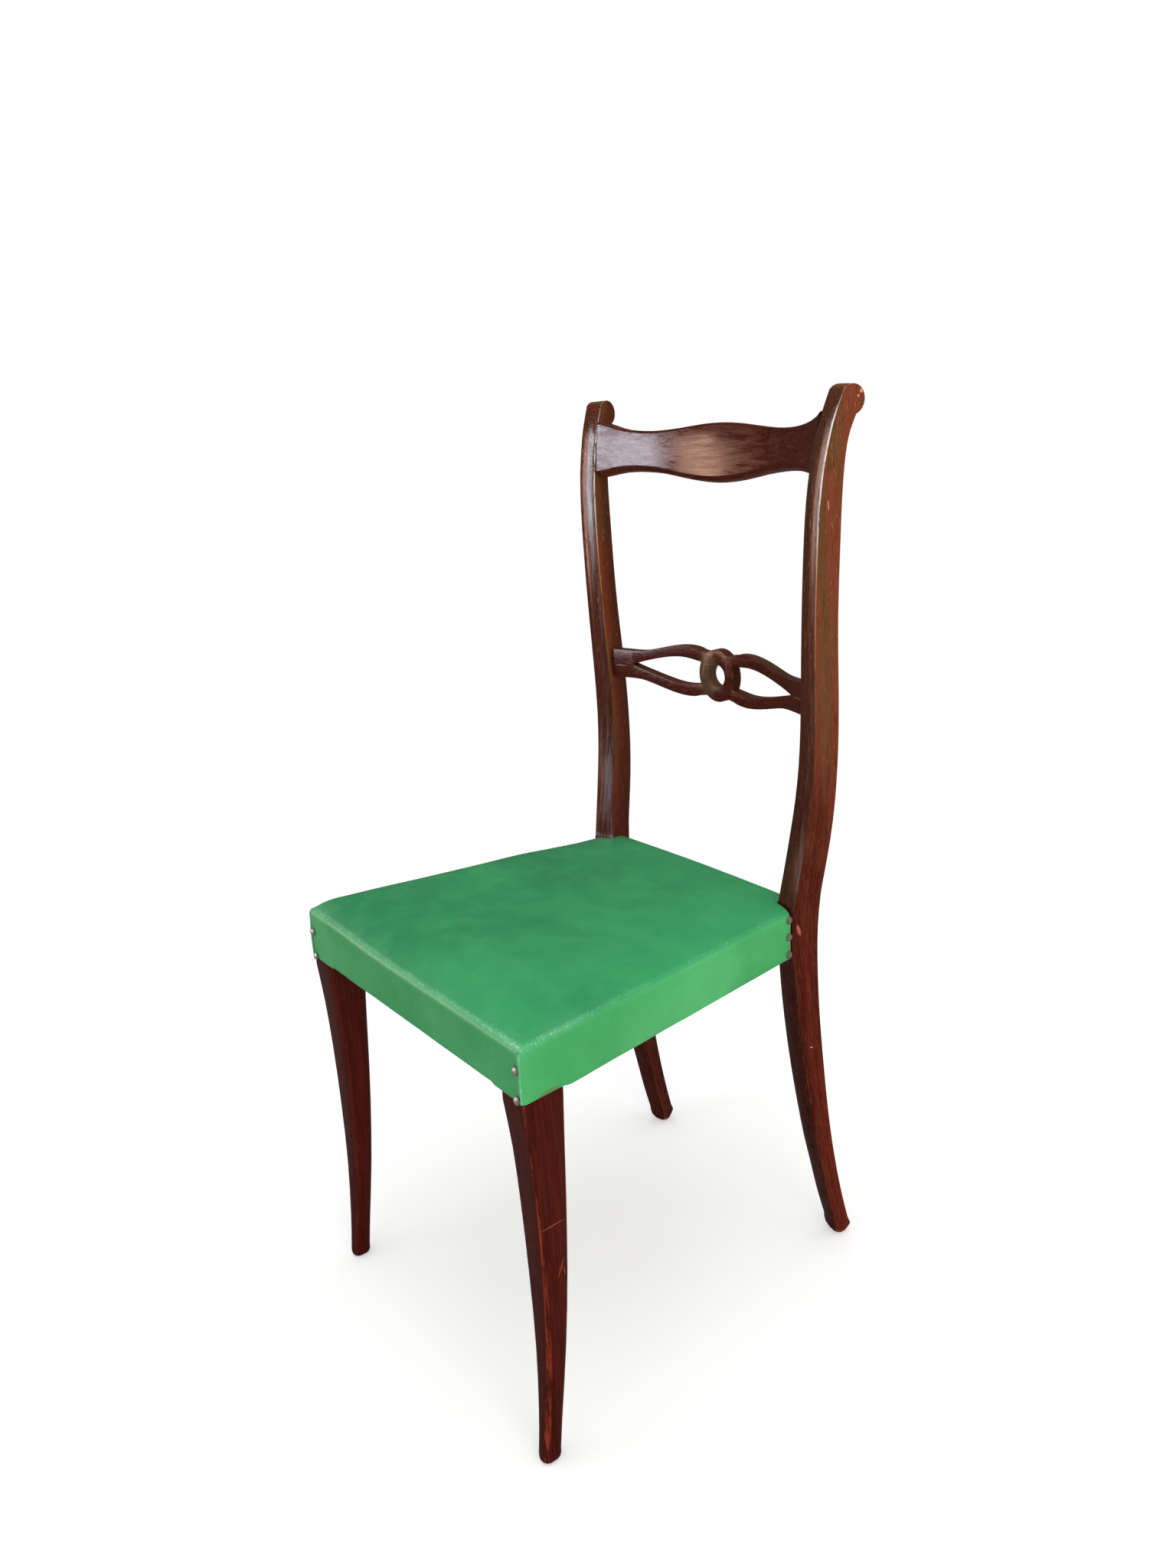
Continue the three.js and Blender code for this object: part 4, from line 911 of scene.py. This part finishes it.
def seat_cover():
    """The leatherette skin: hem, upright sides, rounded edge and crowned top in one net of rings."""
    outer = seat_outline(0)
    rings, edges = cover_rings(outer)
    ease_rim(rings)
    points, rub_and_highlight, slit_shade = [], [], []
    for r, (ring, edge) in enumerate(zip(rings, edges)):
        for point, start in zip(ring, outer):
            moved, rubbed, point_slit_shade = cover_point(r, edge, point, start)
            points.append(moved)
            rub_and_highlight.append(rubbed)
            slit_shade.append(point_slit_shade)
    slack = 0.9 * noise.noise(Vector((*TOP_MIDDLE, SEAT_HEIGHT)) / 70)
    points.append((*TOP_MIDDLE, SEAT_HEIGHT + crown(*TOP_MIDDLE, 0) + slack))
    piece = mesh_piece("green_seat_cover", points, cover_net(outer, rings))
    # The first mark is wear with a painted highlight, the second the painted shade of the slit.
    mark_points(piece, "rub_and_highlight", rub_and_highlight + [0.0])
    mark_points(piece, "slit_shade", slit_shade + [0.0])
    edit(piece)
    bpy.ops.mesh.remove_doubles(threshold=WELD)
    bpy.ops.mesh.delete_loose()
    leave()
    face_outwards(piece)
    apply_modifier(piece, "SOLIDIFY", thickness=COVER_THICKNESS * MM, offset=-1.0)
    for side in (1, -1):
        room = post_room(side)
        apply_modifier(piece, "BOOLEAN", object=room, operation="DIFFERENCE", solver="EXACT")
        bpy.data.objects.remove(room)
    piece.data.transform(STANCE)
    smooth_shading(piece, 50)
    belongs(piece, leatherette, "leatherette", "seat_cover")
    return piece


def post_room(side):
    """The space of a post and of what lies outside it, which the cover keeps clear of."""
    room = primitive(bpy.ops.mesh.primitive_cube_add, "post_room", size=1)
    wide, deep, tall = 90.0, 140.0, 140.0
    beside, before = POST_WALL + 0.4, 1.1
    room.scale = (wide * MM, deep * MM, tall * MM)
    room.location = ((-beside + wide / 2) * MM, (-before + deep / 2) * MM, SEAT_HEIGHT * MM)
    set_in_place(room)
    turn = Matrix.Rotation(-POST_TURN, 4, "Z") @ Matrix.Rotation(POST_SPLAY, 4, "Y")
    across = (POST_STANCE / 2 - math.tan(POST_SPLAY) * SEAT_HEIGHT) * MM
    room.data.transform(Matrix.Translation((across, 0, 0)) @ turn)
    if side < 0:
        room.data.transform(Matrix.Scale(-1, 4, (1, 0, 0)))
        face_outwards(room)
    return room


def tuck_under(piece, cover, clear):
    """Lowers what would press through the cover to just beneath it."""
    bpy.context.view_layer.update()
    down = Vector((0, 0, -1))
    for vertex in piece.data.vertices:
        found, spot, _, _ = cover.ray_cast(Vector((vertex.co.x, vertex.co.y, 1.0)), down)
        if found:
            vertex.co.z = min(vertex.co.z, spot.z - clear)


def keep_above(piece, level):
    """Raises what has swollen below a level of the chair's own frame."""
    back = STANCE.inverted()
    for vertex in piece.data.vertices:
        p = back @ vertex.co
        p.z = max(p.z, level)
        vertex.co = STANCE @ p


PAD_SHARE = 0.985
PAD_GRAIN = 6 * MM
PAD_PRESSURE = 4.0
PAD_FRAMES = 20
PAD_SWELL = 2 * MM
PAD_CLEAR = 1.0


def stuff(piece):
    """Swells the pad by cloth pressure, by PAD_SWELL at most."""
    apply_modifier(piece, "REMESH", mode="VOXEL", voxel_size=PAD_GRAIN)
    start = [v.co.copy() for v in piece.data.vertices]
    take(piece)
    cloth = piece.modifiers.new("Stuffing", "CLOTH")
    cloth.settings.use_pressure = True
    cloth.settings.uniform_pressure_force = PAD_PRESSURE
    cloth.settings.effector_weights.gravity = 0.0
    for step in range(1, PAD_FRAMES + 1):
        bpy.context.scene.frame_set(step)
    bpy.ops.object.modifier_apply(modifier=cloth.name)
    bpy.context.scene.frame_set(1)
    for vertex, rest in zip(piece.data.vertices, start):
        move = vertex.co - rest
        if move.length > PAD_SWELL:
            vertex.co = rest + move.normalized() * PAD_SWELL


def seat_pad(cover):
    """The stuffed pad, kept under the cover and above its own lowest edge."""
    piece = copy_of_node("seat_pad", "stuffed_seat_pad")
    edit(piece)
    bpy.ops.mesh.quads_convert_to_tris()
    leave()
    back = STANCE.inverted()
    level = min((back @ v.co).z for v in piece.data.vertices) + 0.2 * MM
    middle = sum((v.co for v in piece.data.vertices), Vector()) / len(piece.data.vertices)
    for vertex in piece.data.vertices:
        vertex.co = middle + (vertex.co - middle) * PAD_SHARE
    stuff(piece)
    apply_modifier(piece, "SUBSURF", levels=1, render_levels=1)
    tuck_under(piece, cover, (COVER_THICKNESS + PAD_CLEAR) * MM)
    keep_above(piece, level)
    take(piece)
    bpy.ops.object.shade_smooth()
    belongs(piece, fibre, "padding", "seat_pad")


# Dome nails

DOME_RADIUS = 4.5
DOME_RISE = 3.0
RIM_RISE = 0.35
RIM_WIDTH = 0.6
RIM_ROLL = 0.25
SHANK_INSET = 3.05
SHANK_LENGTH = 11.0
FRONT_NAIL_DROPS = (23, 53)
SIDE_NAIL_DROPS = (9, 29, 50)
SIDE_NAIL_SETBACK = 6.5


def dome_nail(name, place, outward, lean):
    """A dome with a rolled rim on a round shank, hammered in a little askew."""
    nail = primitive(
        bpy.ops.mesh.primitive_uv_sphere_add, name, segments=28, ring_count=18,
        radius=DOME_RADIUS * MM,
    )
    nail.scale.z = DOME_RISE / DOME_RADIUS
    set_in_place(nail)
    edit(nail)
    bpy.ops.mesh.bisect(
        plane_co=(0, 0, RIM_RISE * MM), plane_no=(0, 0, 1), clear_inner=True, use_fill=True,
    )
    leave()
    bm = bmesh.new()
    bm.from_mesh(nail.data)
    for face in bm.faces:
        face.select_set(face.normal.z < -0.9)
    bm.to_mesh(nail.data)
    bm.free()
    take(nail)
    bpy.ops.object.mode_set(mode="EDIT")
    bpy.ops.mesh.inset(thickness=RIM_WIDTH * MM)
    bpy.ops.mesh.extrude_region_move(TRANSFORM_OT_translate={"value": (0, 0, RIM_ROLL * MM)})
    bpy.ops.mesh.inset(thickness=SHANK_INSET * MM)
    bpy.ops.mesh.extrude_region_move(TRANSFORM_OT_translate={"value": (0, 0, -SHANK_LENGTH * MM)})
    leave()
    mark_points(nail, "crown", [max(0.0, v.co.z / (DOME_RISE * MM)) ** 2 for v in nail.data.vertices])
    turn = outward.to_track_quat("Z", "Y").to_matrix().to_4x4()
    nod, roll = (math.radians(angle) for angle in lean)
    askew = Matrix.Rotation(nod, 4, "X") @ Matrix.Rotation(roll, 4, "Y")
    nail.data.transform(STANCE @ Matrix.Translation(Vector(place) * MM) @ turn @ askew)
    smooth_shading(nail, 40)
    return nail


def cover_nails():
    """Two nails on the front and three on the side of each hand. The near front ones stand out
    farther, on the lap."""
    slope = math.atan(SIDE_SLOPE)
    length = math.hypot((SEAT_FRONT - SEAT_REAR) / 2, SEAT_DEPTH) - SIDE_NAIL_SETBACK
    along = (SEAT_FRONT / 2 - length * math.sin(slope), -SEAT_DEPTH + length * math.cos(slope))
    for side, hand in (("left", 1), ("right", -1)):
        inset, proud = (7.0, 1.5) if hand > 0 else (9.5, 1.0)
        places = []
        for i, drop in enumerate(FRONT_NAIL_DROPS):
            x = hand * (SEAT_FRONT / 2 - inset - i)
            places.append(((x, -SEAT_DEPTH - proud, SEAT_HEIGHT - drop), Vector((0, -1, 0))))
        outward = Vector((hand * math.cos(slope), math.sin(slope), 0))
        x, y = hand * along[0] + outward.x * 0.4, along[1] + outward.y * 0.4
        places += [((x, y, SEAT_HEIGHT - drop), outward) for drop in SIDE_NAIL_DROPS]
        for i, (place, way) in enumerate(places):
            lean = (3 * math.sin(2.1 * i + hand), 3 * math.cos(3.3 * i - hand))
            name = side + "_" + str(i + 1)
            nail = dome_nail("dome_nail_" + name, place, way, lean)
            belongs(nail, nickel, "nickel", "cover_nail_" + name)


# Under the seat

FRAME_TOP = SEAT_HEIGHT - 13
STRAP_WIDTH, STRAP_THICKNESS, CLEAR = 50.0, 2.0, 0.3
STRAP_RAMP = 16.0
TACK_INSET = 7.7
CROSSES = [-290.0, -190.0, -90.0]
LONGS = [-95.0, 0.0, 95.0]


def strap(kind, i, start, end, across, crossings, high_first):
    """A webbing strap from a plane, woven over and under those that cross it, and running between its
    tack lines over two rails."""
    number = str(i + 1)
    piece = primitive(
        bpy.ops.mesh.primitive_grid_add, kind + "_strap_" + number, x_subdivisions=110,
        y_subdivisions=10, size=1,
    )
    step = STRAP_THICKNESS + CLEAR
    hold = STRAP_WIDTH / 2 + STRAP_THICKNESS
    over = crossings[0 if high_first else 1::2]
    for vertex in piece.data.vertices:
        v = lerp(start, end, vertex.co.x + 0.5)
        w = vertex.co.y * STRAP_WIDTH
        level = max(1 - smoothstep(hold, hold + STRAP_RAMP, abs(v - at)) for at in over)
        z = FRAME_TOP + CLEAR + STRAP_THICKNESS / 2 + step * level
        z += 0.05 * math.sin(w * 1.3)
        w += 0.5 * noise.noise(Vector((v / 30, across, math.copysign(1, w)))) * abs(w) / 25
        x, y = (across + w, v) if kind == "long" else (v, across - w)
        vertex.co = STANCE @ (Vector((x, y, z)) * MM)
    face_outwards(piece)
    apply_modifier(piece, "SOLIDIFY", thickness=STRAP_THICKNESS * MM, offset=0.0)
    smooth_shading(piece, 40)
    belongs(piece, jute, "webbing", "webbing_" + kind + "_" + number)


def webbing():
    """Three straps from front to rear and three across, woven."""
    start, end = -SEAT_DEPTH + TACK_INSET, SEAT_REACH - SEAT_BOW - TACK_INSET
    for i, x in enumerate(LONGS):
        strap("long", i, start, end, x, CROSSES, i % 2 == 0)
    for i, y in enumerate(CROSSES):
        reach = SEAT_FRONT / 2 - (y + SEAT_DEPTH + STRAP_WIDTH / 2) * SIDE_SLOPE - TACK_INSET
        strap("cross", i, -reach, reach, y, LONGS, i % 2 == 1)


def base_cloth():
    """The cloth over the webbing."""
    piece = copy_of_node("base_cloth", "hessian_base")
    apply_modifier(piece, "BEVEL", width=0.3 * MM, segments=2, limit_method="ANGLE")
    belongs(piece, hessian, "hessian", "base_cloth")


def frame_members():
    """Gives the CAD's own rails, corner blocks and screws their materials, and eases the wood."""
    for name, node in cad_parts.items():
        is_screw = name.startswith("block_screw")
        if not is_screw and "seat_rail" not in name and "corner_block" not in name:
            continue
        node.data.materials.clear()
        node.data.materials.append(steel if is_screw else beech)
        if not is_screw:
            weld = node.modifiers.new("Weld", "WELD")
            weld.merge_threshold = WELD
            ease = node.modifiers.new("Ease", "BEVEL")
            ease.width, ease.segments = 0.8 * MM, 2
            ease.limit_method, ease.angle_limit = "ANGLE", math.radians(40)


for hand in ("left", "right"):
    rear_post(hand)
    front_leg(hand)
crest_rail()
lyre_rail()
seat_pad(seat_cover())
cover_nails()
webbing()
base_cloth()
frame_members()


# Studio

LAMP_AIM = (0.0, 0.0, 0.6)
FLOOR_RADIUS = 30
FADE_FROM, FADE_TO = 0.5, 1.4
PALE, DIM = (0.86, 0.86, 0.86, 1), (0.06, 0.06, 0.06, 1)
GLOSS_SHARE = 0.1

# The lens in the photo's own pixels
PHOTO_HEIGHT = 2048
FOCAL_PIXELS = 1532.36
SENSOR = 36.0


def floor():
    """A pale floor that runs out into white, keeps the chair's shadow and is clear from below."""
    ground = primitive(
        bpy.ops.mesh.primitive_circle_add, "studio_floor", vertices=96, radius=FLOOR_RADIUS,
        fill_type="NGON",
    )
    material = bpy.data.materials.new("studio_white")
    material.use_nodes = True
    tree = Tree(material.node_tree)
    material.node_tree.nodes.clear()
    far = tree.length(tree.add("ShaderNodeTexCoord").outputs["Object"])
    rays = tree.add("ShaderNodeLightPath").outputs
    seen = rays["Is Camera Ray"]
    shiny = tree.times(rays["Is Glossy Ray"], 1 - GLOSS_SHARE)
    matt = tree.add("ShaderNodeBsdfDiffuse", {"Color": tree.blend(shiny, PALE, DIM)}).outputs[0]
    glow = tree.add("ShaderNodeEmission", {"Strength": tree.times(seen, 0.34)}).outputs[0]
    near = tree.add("ShaderNodeAddShader", {0: matt, 1: glow}).outputs[0]
    white = tree.add("ShaderNodeEmission", {"Strength": 1.0}).outputs[0]
    fade = tree.times(tree.ramp(far, FADE_FROM, FADE_TO), seen)
    above = tree.add("ShaderNodeMixShader", {0: fade, 1: near, 2: white}).outputs[0]
    below = tree.add("ShaderNodeBsdfTransparent").outputs[0]
    behind = tree.add("ShaderNodeNewGeometry").outputs["Backfacing"]
    out = tree.add("ShaderNodeMixShader", {0: behind, 1: above, 2: below}).outputs[0]
    end = tree.add("ShaderNodeOutputMaterial")
    tree.feed(end.inputs["Surface"], out)
    ground.data.materials.append(material)


def lamp(name, place, size, power, colour=(1, 1, 1), matt=True, gloss=False):
    """A soft lamp that lights matt surfaces, shows in glossy ones, or both."""
    data = bpy.data.lights.new(name, "AREA")
    data.shape = "RECTANGLE"
    data.size, data.size_y = size
    data.energy, data.color = power, colour
    light = bpy.data.objects.new(name, data)
    light.location = place
    light.rotation_euler = (Vector(LAMP_AIM) - Vector(place)).to_track_quat("-Z", "Y").to_euler()
    light.visible_diffuse, light.visible_glossy = matt, gloss
    bpy.context.scene.collection.objects.link(light)


def surround():
    """White for what the camera sees, and a soft room that is brighter above and to the front."""
    world = bpy.data.worlds.new("studio")
    bpy.context.scene.world = world
    world.use_nodes = True
    tree = Tree(world.node_tree)
    back = world.node_tree.nodes["Background"]
    rays = tree.add("ShaderNodeLightPath").outputs
    seen = tree.math("MAXIMUM", rays["Is Camera Ray"], rays["Is Transmission Ray"])
    back.inputs["Color"].default_value = (1, 1, 1, 1)
    up = tree.split(tree.add("ShaderNodeTexCoord").outputs["Generated"])[2]
    room = tree.times(tree.ramp(up, -0.2, 0.9, 0.30, 0.62), rays["Is Diffuse Ray"])
    mirrored = tree.times(rays["Is Glossy Ray"], GLOSS_SHARE)
    room = tree.math("MAXIMUM", room, mirrored)
    tree.feed(back.inputs["Strength"], tree.math("MAXIMUM", seen, room))


floor()
surround()
lamp("window", (-1.12, -2.78, 1.55), (1.25, 1.9), 9, (0.9, 0.95, 1.0))
lamp("window_gleam", (-1.11, -2.76, 1.55), (1.3, 1.9), 230, (0.85, 0.88, 1.0), matt=False, gloss=True)
lamp("doorway_gleam", (-2.18, -2.07, 1.2), (0.5, 1.7), 56, (1.0, 0.60, 0.42), matt=False, gloss=True)
lamp("ceiling", (0.3, -0.2, 3.4), (2.6, 2.6), 34, gloss=True)
lamp("side", (3.2, -0.9, 1.5), (1.8, 1.8), 34, (1.0, 0.98, 0.95))

camera = bpy.data.cameras.new("camera")
camera.sensor_fit = "AUTO"
camera.sensor_width = SENSOR
camera.lens = FOCAL_PIXELS / PHOTO_HEIGHT * SENSOR
viewer = bpy.data.objects.new("camera", camera)
viewer.location = (0.9759, -0.7192188, 0.9854801)
viewer.rotation_euler = [math.radians(v) for v in (72.417092, 3.397916, 52.026275)]
bpy.context.scene.collection.objects.link(viewer)
bpy.context.scene.camera = viewer
bpy.context.scene.view_settings.view_transform = "Standard"
